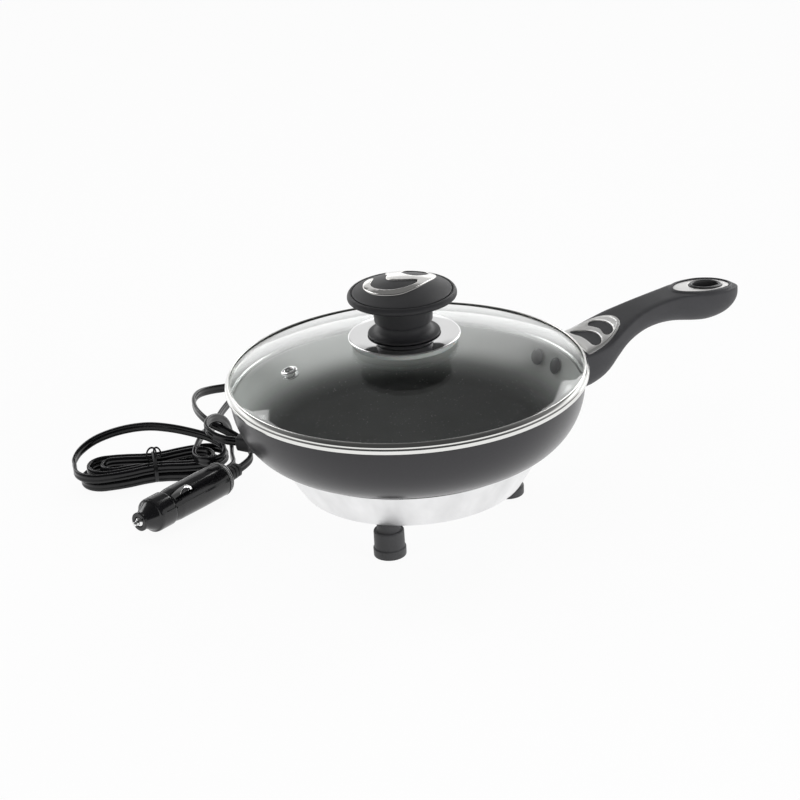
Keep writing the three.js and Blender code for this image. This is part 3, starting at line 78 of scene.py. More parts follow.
# Shapes below are drawn in millimetres about the pan's axis, and set down in metres at the end
MM = 0.001
SPIN_STEPS = 128
SMALL_SPIN_STEPS = 64
LARGE_SPIN_STEPS = 160
RIM_SPIN_STEPS = 192
CORNER_STEPS = 4
ARC_STEPS = 20
OVAL_STEPS = 72
CORD_STEPS = 28
WIRE_SIDES = 10
MOULDED_SIDES = 40
SEAT_GAP = 0.3
rim_low, rim_high = (Vector(corner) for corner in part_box("lid_rim"))
PAN_AXIS = Vector(((rim_low.x + rim_high.x) / 2, (rim_low.y + rim_high.y) / 2, 0))
TO_WORLD = Matrix.Translation(PAN_AXIS) @ Matrix.Scale(MM, 4)


def length(name, millimetres, description):
    size = millimetres * MM
    return FloatProperty(name=name, description=description, default=size, unit="LENGTH", subtype="DISTANCE")


def colour(name, value, description):
    return FloatVectorProperty(
        name=name, description=description, default=value, subtype="COLOR", min=0, max=1,
    )


class PanSizes(bpy.types.PropertyGroup):
    radius: length("Radius", 101, "Outside radius of the pan at its rim")
    flat_radius: length("Flat radius", 72, "Radius of the pan's flat bottom")
    bottom: length("Bottom height", 44.6, "Height of the pan's underside")
    curve_top: length("Curve top", 80, "Height at which the wall stands upright")
    rim: length("Rim height", 82.3, "Height of the pan's rim")
    wall: length("Wall", 2.6, "Thickness of the wall")
    floor: length("Floor", 3, "Thickness of the bottom")
    ledge: length("Ledge height", 76.8, "Height of the bright cut step inside the rim")
    ledge_width: length("Ledge width", 0.9, "Width of the bright cut step")


class BaseSizes(bpy.types.PropertyGroup):
    bottom: length("Bottom height", 21.4, "Height of the heater base's lower edge")
    top: length("Top height", 44.5, "Height of the heater base's upper edge")
    bottom_radius: length("Bottom radius", 64.3, "Radius at the lower edge")
    top_radius: length("Top radius", 78.2, "Radius at the upper edge")
    wall: length("Wall", 1.2, "Thickness of the aluminium")
    lip: length("Lip", 2.8, "Width of the lip that turns in at the lower edge")
    foot_circle: length("Foot circle", 57, "Distance of the feet from the middle")
    foot_radius: length("Foot radius", 8.8, "Radius of a rubber foot")
    foot_shoulder: length("Foot shoulder", 16, "Height at which a foot narrows to its neck")


class HandleSizes(bpy.types.PropertyGroup):
    start: length("Start", 92, "Distance of the grip's start from the pan's axis")
    end: length("End", 233.4, "Distance of the grip's end from the pan's axis")
    half_width: length("Half width", 20, "Half the width of the grip at the pan")
    root_top: length("Root top", 74, "Height of the grip's top at the pan")
    rise: length("Rise", 15, "How far the grip's top rises")
    depth: length("Depth", 27, "Depth of the grip at the pan")
    plate: length("Plate thickness", 1.4, "Thickness of the two inlaid plates")


class LidSizes(bpy.types.PropertyGroup):
    radius: length("Radius", 103.5, "Outside radius of the lid's rim")
    rim_width: length("Rim width", 4.7, "Width of the rim seen from above")
    glass: length("Glass thickness", 4, "Thickness of the glass")
    rise: length("Rise", 20.4, "How far the dome rises from its edge")
    apex: length("Apex height", 108, "Height of the glass at its middle")
    vent_distance: length("Vent distance", 68, "Distance of the steam vent from the middle")


class KnobSizes(bpy.types.PropertyGroup):
    plate_radius: length("Plate radius", 31.9, "Radius of the bright plate under the knob")
    plate_bottom: length("Plate height", 109.2, "Height of the plate's underside")
    neck_radius: length("Neck radius", 16.5, "Radius of the knob's neck")
    neck_bottom: length("Neck height", 111.3, "Height of the neck's lower end")
    cap_radius: length("Cap radius", 31, "Radius of the knob's cap")
    cap_bottom: length("Cap height", 132.3, "Height of the cap's underside")
    cap_apex: length("Cap top", 142.8, "Height of the cap's top")
    inlay: length("Inlay thickness", 1.5, "Thickness of the bright swirl")


class CordSizes(bpy.types.PropertyGroup):
    width: length("Width", 5.4, "Width of the flat cord")
    thickness: length("Thickness", 2.7, "Thickness of the flat cord")
    half_length: length("Hank half length", 47.5, "Half the length of the hank's longest loop")
    half_width: length("Hank half width", 15, "Half the width of the hank's widest loop")
    real_length: length("Length", 1390, "Length of the cord from the base to the plug")


class PlugSizes(bpy.types.PropertyGroup):
    radius: length("Radius", 10.3, "Radius of the plug's body")
    rear: length("Length", 76, "Distance from the tip to the body's rear end")
    height: length("Height", 11.1, "Height at which the plug's axis lies")


class FinishColours(bpy.types.PropertyGroup):
    coating: colour("Outside coating", (0.028, 0.027, 0.030), "Dark satin coating on the outside of the pan")
    non_stick: colour("Inside coating", (0.011, 0.011, 0.011), "Speckled coating on the floor of the pan")
    # The inside wall's pale colour is a painted sheen; the coating is dark all over
    painted_wall_sheen: colour("Painted wall sheen", (0.80, 0.805, 0.79), "Speckled coating at the top of the wall")
    aluminium: colour("Aluminium", (0.88, 0.88, 0.885), "Brushed aluminium of the heater base")
    grip: colour("Grip", (0.038, 0.038, 0.041), "Soft touch plastic of the grip and the knob")
    rubber: colour("Rubber", (0.045, 0.045, 0.047), "Rubber of the feet")
    flex: colour("Flex", (0.005, 0.005, 0.006), "Black flex")
    glass: colour("Glass", (0.965, 0.98, 0.972), "Clear glass with a faint green in its edge")


SHEETS = {
    "skillet_pan": PanSizes, "skillet_base": BaseSizes, "skillet_handle": HandleSizes,
    "skillet_lid": LidSizes, "skillet_knob": KnobSizes, "skillet_cord": CordSizes,
    "skillet_plug": PlugSizes, "skillet_colours": FinishColours,
}


class Millimetres:
    """Reads a sheet of sizes in millimetres."""

    def __init__(self, sheet):
        self.sheet = sheet

    def __getattr__(self, name):
        return getattr(self.sheet, name) / MM


# Modelling helpers
def spun(corners, steps=SPIN_STEPS):
    """Turns an outline of (radius, height, rounding) corners about the Z axis."""
    bm = bmesh.new()
    verts = [bm.verts.new((corner[0], 0, corner[1])) for corner in corners]
    for first, second in zip(verts, verts[1:]):
        bm.edges.new((first, second))
    if corners[0][0] > 0 or corners[-1][0] > 0:
        bm.edges.new((verts[-1], verts[0]))
    for vert, corner in zip(verts, corners):
        if len(corner) > 2 and corner[2] > 0:
            bmesh.ops.bevel(
                bm, geom=[vert], offset=corner[2], offset_type="OFFSET", affect="VERTICES",
                segments=CORNER_STEPS, profile=0.5, material=-1, clamp_overlap=True,
            )
    bmesh.ops.spin(
        bm, geom=bm.verts[:] + bm.edges[:], cent=(0, 0, 0), axis=(0, 0, 1), dvec=(0, 0, 0),
        angle=2 * math.pi, steps=steps, use_merge=True, use_duplicate=False,
    )
    bmesh.ops.remove_doubles(bm, verts=bm.verts[:], dist=1e-4)
    bmesh.ops.recalc_face_normals(bm, faces=bm.faces[:])
    return bm


def ring(bm, segments, place):
    """Draws a closed ring and moves each point to place(angle)."""
    made = bmesh.ops.create_circle(bm, cap_ends=False, radius=1, segments=segments)
    for vert in made["verts"]:
        vert.co = place(math.atan2(vert.co.y, vert.co.x))
    return list({edge for vert in made["verts"] for edge in vert.link_edges})


def lofted(rings, segments, closed=False):
    """Bridges a row of rings, each given as a function from angle to point, into a tube or a closed loop."""
    bm = bmesh.new()
    loops = [ring(bm, segments, place) for place in rings]
    pairs = list(zip(loops, loops[1:]))
    if closed:
        pairs.append((loops[-1], loops[0]))
    for first, second in pairs:
        bmesh.ops.bridge_loops(bm, edges=first + second)
    if not closed:
        for loop in (loops[0], loops[-1]):
            bmesh.ops.contextual_create(bm, geom=loop)
    bmesh.ops.recalc_face_normals(bm, faces=bm.faces[:])
    return bm


def rounded_power(value, power):
    """Bends a sine or a cosine so that a ring gets squarer as the power falls below one."""
    return math.copysign(abs(value) ** power, value)


def rounded_ring(along, half_width, half_height, power=0.5, middle=0):
    """A ring across X about a middle height, as a function from angle to point."""
    def place(angle):
        across = half_width * rounded_power(math.cos(angle), power)
        return Vector((along, across, middle + half_height * rounded_power(math.sin(angle), power)))
    return place


def eased(before, low, high, after, t):
    """A place between two values, with the slopes at both given as steps over the whole span."""
    return (
        low * (2 * t**3 - 3 * t**2 + 1) + before * (t**3 - 2 * t**2 + t)
        + high * (3 * t**2 - 2 * t**3) + after * (t**3 - t**2)
    )


def catmull(points, steps, closed=False):
    """Centripetal curve through the points, with steps pieces between two of them."""
    points = [Vector(point) for point in points]
    count = len(points)
    if closed:
        rows = [[points[(i + k) % count] for k in (-1, 0, 1, 2)] for i in range(count)]
    else:
        ends = [points[0] * 2 - points[1]] + points + [points[-1] * 2 - points[-2]]
        rows = [ends[i:i + 4] for i in range(count - 1)]
    made = []
    for a, b, c, d in rows:
        spans = [max((q - p).length ** 0.5, 1e-4) for p, q in ((a, b), (b, c), (c, d))]
        leave = ((b - a) / spans[0] - (c - a) / (spans[0] + spans[1]) + (c - b) / spans[1]) * spans[1]
        enter = ((c - b) / spans[1] - (d - b) / (spans[1] + spans[2]) + (d - c) / spans[2]) * spans[1]
        made += [eased(leave, b, c, enter, step / steps) for step in range(steps)]
    if not closed:
        made.append(points[-1])
    return made


def linked(name, data):
    """A new object that shows the data in the scene."""
    made = bpy.data.objects.new(name, data)
    bpy.context.collection.objects.link(made)
    return made


def add_line(curve, points, closed=True):
    """Adds a line through flat or spatial points to a curve."""
    line = curve.splines.new("POLY")
    line.points.add(len(points) - 1)
    line.use_cyclic_u = closed
    for target, point in zip(line.points, points):
        target.co = (*point, *[0] * (3 - len(point)), 1)


def final_shape(holder, helper=None):
    """The holder's shape with all that acts on it; the holder and its helper are cleared away."""
    evaluated = holder.evaluated_get(bpy.context.evaluated_depsgraph_get())
    mesh = bpy.data.meshes.new_from_object(evaluated)
    bm = bmesh.new()
    bm.from_mesh(mesh)
    bpy.data.meshes.remove(mesh)
    for made in (holder, helper):
        if made:
            kept = bpy.data.curves if made.type == "CURVE" else bpy.data.meshes
            data = made.data
            bpy.data.objects.remove(made)
            kept.remove(data)
    return bm


def flat_plate(outlines, thickness, bevel):
    """A flat plate filled between closed outlines of (x, y) points, made a mesh."""
    curve = bpy.data.curves.new("plate outline", "CURVE")
    curve.dimensions = "2D"
    curve.fill_mode = "BOTH"
    curve.extrude = thickness / 2 - bevel
    curve.bevel_depth = bevel
    curve.bevel_resolution = 2
    curve.offset = -bevel
    for points in outlines:
        add_line(curve, points)
    bm = final_shape(linked("plate outline", curve))
    bmesh.ops.remove_doubles(bm, verts=bm.verts[:], dist=1e-4)
    return bm


def sliced(bm, pitch):
    """Cuts the mesh across X and Y so that it can bend."""
    for axis in (0, 1):
        values = [vert.co[axis] for vert in bm.verts]
        at = math.floor(min(values) / pitch + 1) * pitch
        while at < max(values):
            place = Vector((0, 0, 0))
            normal = Vector((0, 0, 0))
            place[axis] = at
            normal[axis] = 1
            geometry = bm.verts[:] + bm.edges[:] + bm.faces[:]
            bmesh.ops.bisect_plane(bm, geom=geometry, dist=1e-5, plane_co=place, plane_no=normal)
            at += pitch


def finish_piece(name, bm, finishes, body, nodes=(), place=None, sharp=32, pick=None):
    """Sets the mesh down in metres, gives it its finishes and ties it to its body."""
    if place is not None:
        bmesh.ops.transform(bm, matrix=place, verts=bm.verts[:])
    if pick is not None:
        for face in bm.faces:
            face.material_index = pick(face.calc_center_median(), face.normal)
    bmesh.ops.transform(bm, matrix=TO_WORLD, verts=bm.verts[:])
    for face in bm.faces:
        face.smooth = True
    mesh = bpy.data.meshes.new(name)
    bm.to_mesh(mesh)
    bm.free()
    mesh.set_sharp_from_angle(angle=math.radians(sharp))
    piece = linked(name, mesh)
    for finish in finishes:
        mesh.materials.append(finish)
    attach(piece, body)
    if nodes:
        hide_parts(*nodes)
    return piece


def about(distance, angle, height=0):
    """A place beside the pan's axis, turned about it."""
    turn = Matrix.Rotation(math.radians(angle), 4, "Z")
    return turn @ Matrix.Translation((distance, 0, height))


def level_way(angle):
    """The level direction at an angle."""
    return Vector((math.cos(math.radians(angle)), math.sin(math.radians(angle)), 0))


# Shader helpers
WHITE = (1, 1, 1, 1)
CHROME = ("Bright chrome", (0.88, 0.88, 0.88), 0.06)
BOOT_PLASTIC = ("Boot plastic", (0.012, 0.012, 0.013), 0.4)
SILICONE = ("Grey silicone", (0.36, 0.38, 0.37))
# Heights between which the inside of the pan turns from its floor's dark colour to the pale colour of its
# wall, a painted sheen
WALL_SHEEN_FADE = (0.048, 0.067)
# Large speckles of that coating, below and above; the paler ones above carry the wall's painted sheen
GRIT_WITH_WALL_SHEEN = ((0.22, 0.22, 0.215), (0.7, 0.7, 0.69))
GLASS_SHADOW = (0.92, 0.94, 0.93, 1)
FLOOR_PATCHES = ((0.85, 0.85, 0.86), (0.87, 0.87, 0.88))
# How much of the floor's look is plain white light where a viewer or a mirror sees it
FLOOR_WHITE_SHARE = 0.94


def add_node(tree, kind, inputs=(), **settings):
    """Adds a node, and fills its inputs with values or with what other nodes give out."""
    node = tree.nodes.new(kind)
    for name, value in settings.items():
        setattr(node, name, value)
    for name, value in dict(inputs).items():
        if isinstance(value, bpy.types.NodeSocket):
            tree.links.new(value, node.inputs[name])
        else:
            node.inputs[name].default_value = value
    return node


def math_node(tree, operation, first, *others, clamp=False):
    """One sum, which takes in the other values one after the other."""
    for other in others or (None,):
        inputs = {0: first} if other is None else {0: first, 1: other}
        first = add_node(tree, "ShaderNodeMath", inputs, operation=operation, use_clamp=clamp).outputs[0]
    return first


def spread_node(tree, value, low, high, to_low=0.0, to_high=1.0):
    """A soft step from one value to another while the input passes from low to high."""
    inputs = {"From Min": low, "From Max": high, "To Min": to_low, "To Max": to_high, "Value": value}
    return add_node(tree, "ShaderNodeMapRange", inputs, interpolation_type="SMOOTHSTEP").outputs["Result"]


def mixed_surface(tree, share, first, second):
    """Shows the second shader by its share and the first one by the rest."""
    output = next(node for node in tree.nodes if node.type.startswith("OUTPUT_"))
    mix = add_node(tree, "ShaderNodeMixShader", {0: share, 1: first.outputs[0], 2: second.outputs[0]})
    tree.links.new(mix.outputs[0], output.inputs["Surface"])


def pattern_group(name, build, **amounts):
    """A node group, made once, that turns a place and some amounts into one value."""
    group = bpy.data.node_groups.get(name)
    if group:
        return group
    group = bpy.data.node_groups.new(name, "ShaderNodeTree")
    sockets = group.interface
    sockets.new_socket(name="Vector", in_out="INPUT", socket_type="NodeSocketVector")
    for label, amount in amounts.items():
        socket = sockets.new_socket(name=label.capitalize(), in_out="INPUT", socket_type="NodeSocketFloat")
        socket.default_value = amount
    sockets.new_socket(name="Value", in_out="OUTPUT", socket_type="NodeSocketFloat")
    given = group.nodes.new("NodeGroupInput").outputs
    end = group.nodes.new("NodeGroupOutput")
    group.links.new(build(group, given), end.inputs["Value"])
    return group


def grain_group():
    """Fine even grain, as on moulded plastic and sprayed coatings."""
    def build(group, given):
        inputs = {"Vector": given["Vector"], "Scale": given["Scale"], "Detail": 3, "Roughness": 0.6}
        noise = add_node(group, "ShaderNodeTexNoise", inputs)
        centred = math_node(group, "SUBTRACT", noise.outputs[0], 0.5)
        spread = math_node(group, "MULTIPLY", centred, given["Contrast"])
        return math_node(group, "ADD", spread, 0.5, clamp=True)
    return pattern_group("Fine grain", build, scale=2000.0, contrast=1.0)


def turned_group():
    """Fine marks that run round the pan's axis, as a lathe or a brushing wheel leaves them."""
    def build(group, given):
        x, y, z = add_node(group, "ShaderNodeSeparateXYZ", {0: given["Vector"]}).outputs
        squares = [math_node(group, "MULTIPLY", part, part) for part in (x, y)]
        radius = math_node(group, "SQRT", math_node(group, "ADD", *squares))
        joined = add_node(group, "ShaderNodeCombineXYZ", {
            0: math_node(group, "MULTIPLY", radius, given["Marks"]),
            1: math_node(group, "MULTIPLY", math_node(group, "ARCTAN2", y, x), given["Breaks"]),
            2: math_node(group, "MULTIPLY", z, given["Marks"]),
        })
        inputs = {"Vector": joined.outputs[0], "Scale": 1, "Detail": 4, "Roughness": 0.65}
        return add_node(group, "ShaderNodeTexNoise", inputs).outputs[0]
    return pattern_group("Turned marks", build, marks=1500.0, breaks=2.0)


def speckle_group():
    """Scattered small flakes, as in a stone look coating."""
    def build(group, given):
        inputs = {"Vector": given["Vector"], "Scale": given["Scale"]}
        cells = add_node(group, "ShaderNodeTexVoronoi", inputs)
        small = math_node(group, "LESS_THAN", cells.outputs["Distance"], given["Size"])
        parts = add_node(group, "ShaderNodeSeparateColor", {0: cells.outputs["Color"]})
        chosen = math_node(group, "LESS_THAN", parts.outputs[0], given["Share"])
        return math_node(group, "MULTIPLY", small, chosen)
    return pattern_group("Speckles", build, scale=900.0, size=0.2, share=0.3)


def smudge_group():
    """Broad faint patches of handling that change the gloss."""
    def build(group, given):
        inputs = {"Vector": given["Vector"], "Scale": given["Scale"], "Detail": 5}
        noise = add_node(group, "ShaderNodeTexNoise", inputs)
        inputs = {"From Min": 0.3, "From Max": 0.7, "To Min": given["Low"], "To Max": given["High"]}
        inputs["Value"] = noise.outputs[0]
        return add_node(group, "ShaderNodeMapRange", inputs).outputs["Result"]
    return pattern_group("Handling smudges", build, scale=25.0, low=0.3, high=0.4)


class Finish:
    """Builds one procedural material step by step."""

    def __init__(self, name, base, roughness, metallic=0.0, **more):
        self.material = bpy.data.materials.new(name)
        self.material.use_nodes = True
        self.tree = self.material.node_tree
        self.shader = next(node for node in self.tree.nodes if node.type == "BSDF_PRINCIPLED")
        start = {"base_color": (*base, 1), "roughness": roughness, "metallic": metallic}
        for label, value in {**start, **more}.items():
            self.shader.inputs[label.replace("_", " ").title().replace("Ior", "IOR")].default_value = value
        coordinates = add_node(self.tree, "ShaderNodeTexCoord").outputs["Object"]
        centring = {"Location": -PAN_AXIS, "Vector": coordinates}
        self.place = add_node(self.tree, "ShaderNodeMapping", centring).outputs[0]

    def pattern(self, group, stretch=None, **amounts):
        place = self.place
        if stretch:
            place = add_node(self.tree, "ShaderNodeMapping", {"Scale": stretch, "Vector": place}).outputs[0]
        inputs = {name.capitalize(): amount for name, amount in amounts.items()}
        return add_node(self.tree, "ShaderNodeGroup", {"Vector": place, **inputs}, node_tree=group).outputs[0]

    def blend(self, mask, first, second):
        node = add_node(self.tree, "ShaderNodeMix", {"Factor": mask}, data_type="RGBA")
        for socket, value in zip(("A", "B"), (first, second)):
            target = next(s for s in node.inputs if s.name == socket and s.type == "RGBA")
            if isinstance(value, tuple):
                target.default_value = (*value, 1)
            else:
                self.tree.links.new(value, target)
        return next(s for s in node.outputs if s.type == "RGBA")

    def feed(self, socket, source):
        self.tree.links.new(source, self.shader.inputs[socket])

    def patches(self, base, scale, contrast, dark, light, stretch=None):
        """Large faint patches of a darker and a lighter shade of the base colour."""
        mask = self.pattern(grain_group(), stretch=stretch, scale=scale, contrast=contrast)
        self.feed("Base Color", self.blend(mask, shade(base, dark), shade(base, light)))

    def smudges(self, scale, low, high):
        self.feed("Roughness", self.pattern(smudge_group(), scale=scale, low=low, high=high))

    def bump(self, height, distance):
        self.feed("Normal", add_node(self.tree, "ShaderNodeBump", {
            "Strength": 1.0, "Distance": distance, "Height": height,
        }).outputs[0])

    def grain(self, scale, distance, contrast=1.0):
        self.bump(self.pattern(grain_group(), scale=scale, contrast=contrast), distance)


def shade(base, factor):
    return tuple(min(channel * factor, 1) for channel in base)


def made_once(make):
    """Lets a function make the finish of each name only once."""
    @functools.wraps(make)
    def found(name, *values, **options):
        return bpy.data.materials.get(name) or make(name, *values, **options).material
    return found


@made_once
def soft_finish(name, base, roughness, grain=2600, relief=0.00004, specular=0.5):
    """Moulded or sprayed plastic and rubber: fine grain, faint patches and handling marks."""
    finish = Finish(name, base, roughness, specular_ior_level=specular)
    finish.patches(base, 70, 1.4, 0.85, 1.18)
    finish.smudges(30, roughness - 0.06, roughness + 0.06)
    finish.grain(grain, relief)
    return finish


@made_once
def metal_finish(name, base, roughness, marks=0, relief=0.00001, streaks=0):
    """Polished or satin metal; where they are asked for, marks run round the pan and upright stripes of
    lighter and darker colour paint the reflection bands of brushed metal.
    """
    finish = Finish(name, base, roughness, metallic=1)
    # Upright lighter and darker stripes in the colour: painted reflection bands
    if streaks:
        finish.patches(base, streaks, 2.2, 0.84, 1.08, stretch=(1, 1, 0.05))
    else:
        finish.patches(base, 45, 1.2, 0.95, 1.04)
    finish.smudges(40, max(roughness - 0.03, 0.02), roughness + 0.04)
    if marks:
        finish.bump(finish.pattern(turned_group(), marks=marks, breaks=3), relief)
    else:
        finish.grain(900, relief, contrast=0.8)
    return finish


@made_once
def gloss_finish(name, base, roughness, specular=0.6):
    """Glossy moulded plastic with a slight waviness, as on the plug and the flex."""
    finish = Finish(name, base, roughness, specular_ior_level=specular)
    finish.patches(base, 150, 1.3, 0.8, 1.3)
    finish.smudges(90, max(roughness - 0.05, 0.03), roughness + 0.08)
    finish.grain(500, 0.00003)
    return finish


@made_once
def silicone_finish(name, base):
    """Soft translucent rubber with a faint grain."""
    finish = Finish(name, base, 0.35, subsurface_weight=0.2, subsurface_scale=0.002)
    finish.patches(base, 120, 1.2, 0.9, 1.1)
    finish.grain(1800, 0.00002)
    return finish


@made_once
def coating_finish(name, base):
    """Satin coating with faint flakes under a clear coat."""
    finish = Finish(name, base, 0.42, metallic=0.6, coat_weight=0.6, coat_roughness=0.22)
    flakes = finish.pattern(speckle_group(), scale=2400, size=0.3, share=0.25)
    finish.feed("Base Color", finish.blend(flakes, base, shade(base, 1.5)))
    finish.smudges(22, 0.34, 0.42)
    finish.grain(2200, 0.00003)
    return finish


@made_once
def non_stick_finish(name, base, top):
    """Speckled coating, dark on the pan's floor, with a pale painted sheen towards the top of its wall."""
    finish = Finish(name, base, 0.55, specular_ior_level=0.3)
    height = add_node(finish.tree, "ShaderNodeSeparateXYZ", {0: finish.place}).outputs[2]
    # The wall mask raises the painted sheen with height: top is the sheen's colour, and the speckles there
    # are lightened with it
    wall = spread_node(finish.tree, height, *WALL_SHEEN_FADE)
    ground_and_wall_sheen = finish.blend(wall, base, top)
    light = finish.blend(wall, shade(base, 2.6), shade(top, 1.18))
    small = finish.pattern(speckle_group(), scale=1500, size=0.24, share=0.3)
    large = finish.pattern(speckle_group(), scale=560, size=0.17, share=0.28)
    grit_with_sheen = finish.blend(wall, *GRIT_WITH_WALL_SHEEN)
    finish.feed("Base Color", finish.blend(large, finish.blend(small, ground_and_wall_sheen, light), grit_with_sheen))
    finish.smudges(28, 0.5, 0.6)
    finish.grain(1400, 0.00008, contrast=1.2)
    return finish


@made_once
def glass_finish(name, base):
    """Clear glass that doesn't darken what lies in its shadow."""
    finish = Finish(name, base, 0, ior=1.5, transmission_weight=1)
    finish.smudges(14, 0, 0.02)
    through = add_node(finish.tree, "ShaderNodeBsdfTransparent", {"Color": GLASS_SHADOW})
    rays = add_node(finish.tree, "ShaderNodeLightPath").outputs
    mixed_surface(finish.tree, rays["Is Shadow Ray"], finish.shader, through)
    return finish


@made_once
def floor_finish(name, base):
    """Pale floor that shows shadows and otherwise passes for the white background."""
    finish = Finish(name, base, 0.8)
    tree = finish.tree
    mask = finish.pattern(grain_group(), scale=6, contrast=0.6)
    finish.feed("Base Color", finish.blend(mask, *FLOOR_PATCHES))
    outputs = add_node(tree, "ShaderNodeLightPath").outputs
    rays = [outputs[f"Is {kind} Ray"] for kind in ("Camera", "Glossy", "Transmission")]
    seen = math_node(tree, "MAXIMUM", *rays)
    white = add_node(tree, "ShaderNodeEmission", {"Color": WHITE, "Strength": 1})
    mixed_surface(tree, math_node(tree, "MULTIPLY", seen, FLOOR_WHITE_SHARE), finish.shader, white)
    return finish


# Shapes that several pieces share
def pan_radius_at(pan, height, grow=0.0):
    """Outside radius of the pan at a height, grown by a gap."""
    if height >= pan.curve_top:
        return pan.radius + grow
    drop = pan.curve_top - pan.bottom + grow
    share = min((pan.curve_top - height) / drop, 1)
    return pan.flat_radius + (pan.radius - pan.flat_radius + grow) * math.sin(math.acos(share))


def pan_arc(pan, radius_span, height_span):
    """Corners of the round part of the pan's wall, from its flat bottom upwards."""
    angles = [math.pi / 2 * step / ARC_STEPS for step in range(ARC_STEPS + 1)]
    return [
        (pan.flat_radius + radius_span * math.sin(angle), pan.curve_top - height_span * math.cos(angle), 0)
        for angle in angles
    ]


# Rows of the grip: share of its length, then of its half width, its rise and its depth
HANDLE_SHAPE_SHARES = [
    (0, 0.98, 0, 1.02), (0.08, 0.99, 0.01, 1.02), (0.16, 0.99, 0.05, 0.98), (0.225, 0.98, 0.13, 0.92),
    (0.27, 0.93, 0.24, 0.85), (0.31, 0.85, 0.38, 0.75), (0.375, 0.71, 0.6, 0.63), (0.44, 0.59, 0.76, 0.58),
    (0.5, 0.52, 0.87, 0.565), (0.56, 0.495, 0.94, 0.575), (0.61, 0.5, 0.98, 0.605), (0.66, 0.53, 1, 0.65),
    (0.705, 0.59, 1, 0.7), (0.755, 0.655, 0.96, 0.735), (0.805, 0.69, 0.91, 0.745), (0.855, 0.69, 0.86, 0.71),
    (0.9, 0.65, 0.8, 0.635), (0.935, 0.57, 0.75, 0.54), (0.965, 0.45, 0.7, 0.42), (0.987, 0.29, 0.64, 0.28),
    (1, 0.08, 0.57, 0.1),
]
GRIP_TOP_POWER = 0.3
GRIP_CROWN = 0.3
BELLY_POWER = 0.77


def handle_station(grip, share):
    """Distance, half width, top and depth of the grip at a share of its run."""
    rows = HANDLE_SHAPE_SHARES
    index = next((i for i in range(len(rows) - 2) if share < rows[i + 1][0]), len(rows) - 2)
    b, c = rows[index], rows[index + 1]
    a = rows[max(index - 1, 0)]
    d = rows[min(index + 2, len(rows) - 1)]
    span = c[0] - b[0]
    t = min(max((share - b[0]) / span, 0), 1)
    values = []
    for column in (1, 2, 3):
        leave = (c[column] - a[column]) / max(c[0] - a[0], 1e-6) * span
        enter = (d[column] - b[column]) / max(d[0] - b[0], 1e-6) * span
        values.append(eased(leave, b[column], c[column], enter, t))
    return grip.half_width * values[0], grip.root_top + grip.rise * values[1], grip.depth * values[2]


def handle_at(grip, x):
    return handle_station(grip, (x - grip.start) / (grip.end - grip.start))


def grip_section(half_width, depth, angle):
    """A flat topped section with crisp upper edges and a round underside; height is measured from the top."""
    across, upward = math.cos(angle), math.sin(angle)
    crown = depth * GRIP_CROWN
    if upward >= 0:
        return half_width * rounded_power(across, GRIP_TOP_POWER), crown * (upward ** GRIP_TOP_POWER - 1)
    below = -crown - (depth - crown) * abs(upward) ** BELLY_POWER
    return half_width * rounded_power(across, BELLY_POWER), below


def grip_top_at(grip, x, y):
    """Height of the grip's top surface over a point."""
    half_width, top, depth = handle_at(grip, x)
    share = min(abs(y) / half_width, 0.97)
    upward = math.sqrt(max(1 - share ** (2 / GRIP_TOP_POWER), 0))
    return top + depth * GRIP_CROWN * (upward ** GRIP_TOP_POWER - 1)


# Outlines on the grip's top: distance from the pan's axis, distance to the side
ROOT_PLATE = [
    (112.6, 18.2), (119, 17.8), (126, 16.7), (132.5, 14.8), (138, 12), (142, 8.3), (144.3, 4.2), (145, 0),
    (144.3, -4.2), (142, -8.3), (138, -12), (132.5, -14.8), (126, -16.7), (119, -17.8), (112.6, -18.2),
    (112.2, -16.6), (113.4, -8.5), (113.8, 0), (113.4, 8.5), (112.2, 16.6),
]
NEAR_COMMA = [
    (120.1, 12), (122.9, 10.6), (125.8, 7.4), (128.2, 3), (129.2, -2), (128.5, -7.1), (126.5, -11.6),
    (123.5, -14.4), (120.8, -14.6), (119.7, -12.2), (120.3, -8.2), (121, -3.1), (121, 2.9), (119.9, 7.9),
]
FAR_COMMA = [
    (131.2, 9.3), (133.6, 10.6), (135.8, 9), (137.6, 5.5), (138.8, 1.1), (138.7, -4), (137.3, -8.1),
    (135, -10.8), (132.6, -11.2), (131.2, -10.2), (131, -7.6), (132, -4), (132.7, -0.4), (132, 4.4),
]
END_PLATE_CENTRE, END_PLATE_HALVES = 208.2, (19.3, 10.8)
HOLE_CENTRE, HOLE_HALVES = 211.4, (8.7, 5.6)


def smooth_outline(points, steps=6):
    return [(point.x, point.y) for point in catmull([(*point, 0) for point in points], steps, closed=True)]


def oval(centre, halves, grow=0.0):
    angles = [2 * math.pi * index / OVAL_STEPS for index in range(OVAL_STEPS)]
    return [(centre + (halves[0] + grow) * math.cos(a), (halves[1] + grow) * math.sin(a)) for a in angles]


def inset(points, by):
    """The outline moved inwards by a distance."""
    moved = []
    area = sum(a[0] * b[1] - b[0] * a[1] for a, b in zip(points, points[1:] + points[:1]))
    for index, point in enumerate(points):
        before, after = Vector(points[index - 1]), Vector(points[(index + 1) % len(points)])
        along = (after - before).normalized()
        inward = Vector((-along.y, along.x)) * (1 if area > 0 else -1)
        moved.append(tuple(Vector(point) + inward * by))
    return moved


def joined(first, second):
    """Adds the second mesh to the first one."""
    mesh = bpy.data.meshes.new("joined")
    second.to_mesh(mesh)
    second.free()
    first.from_mesh(mesh)
    bpy.data.meshes.remove(mesh)
    return first


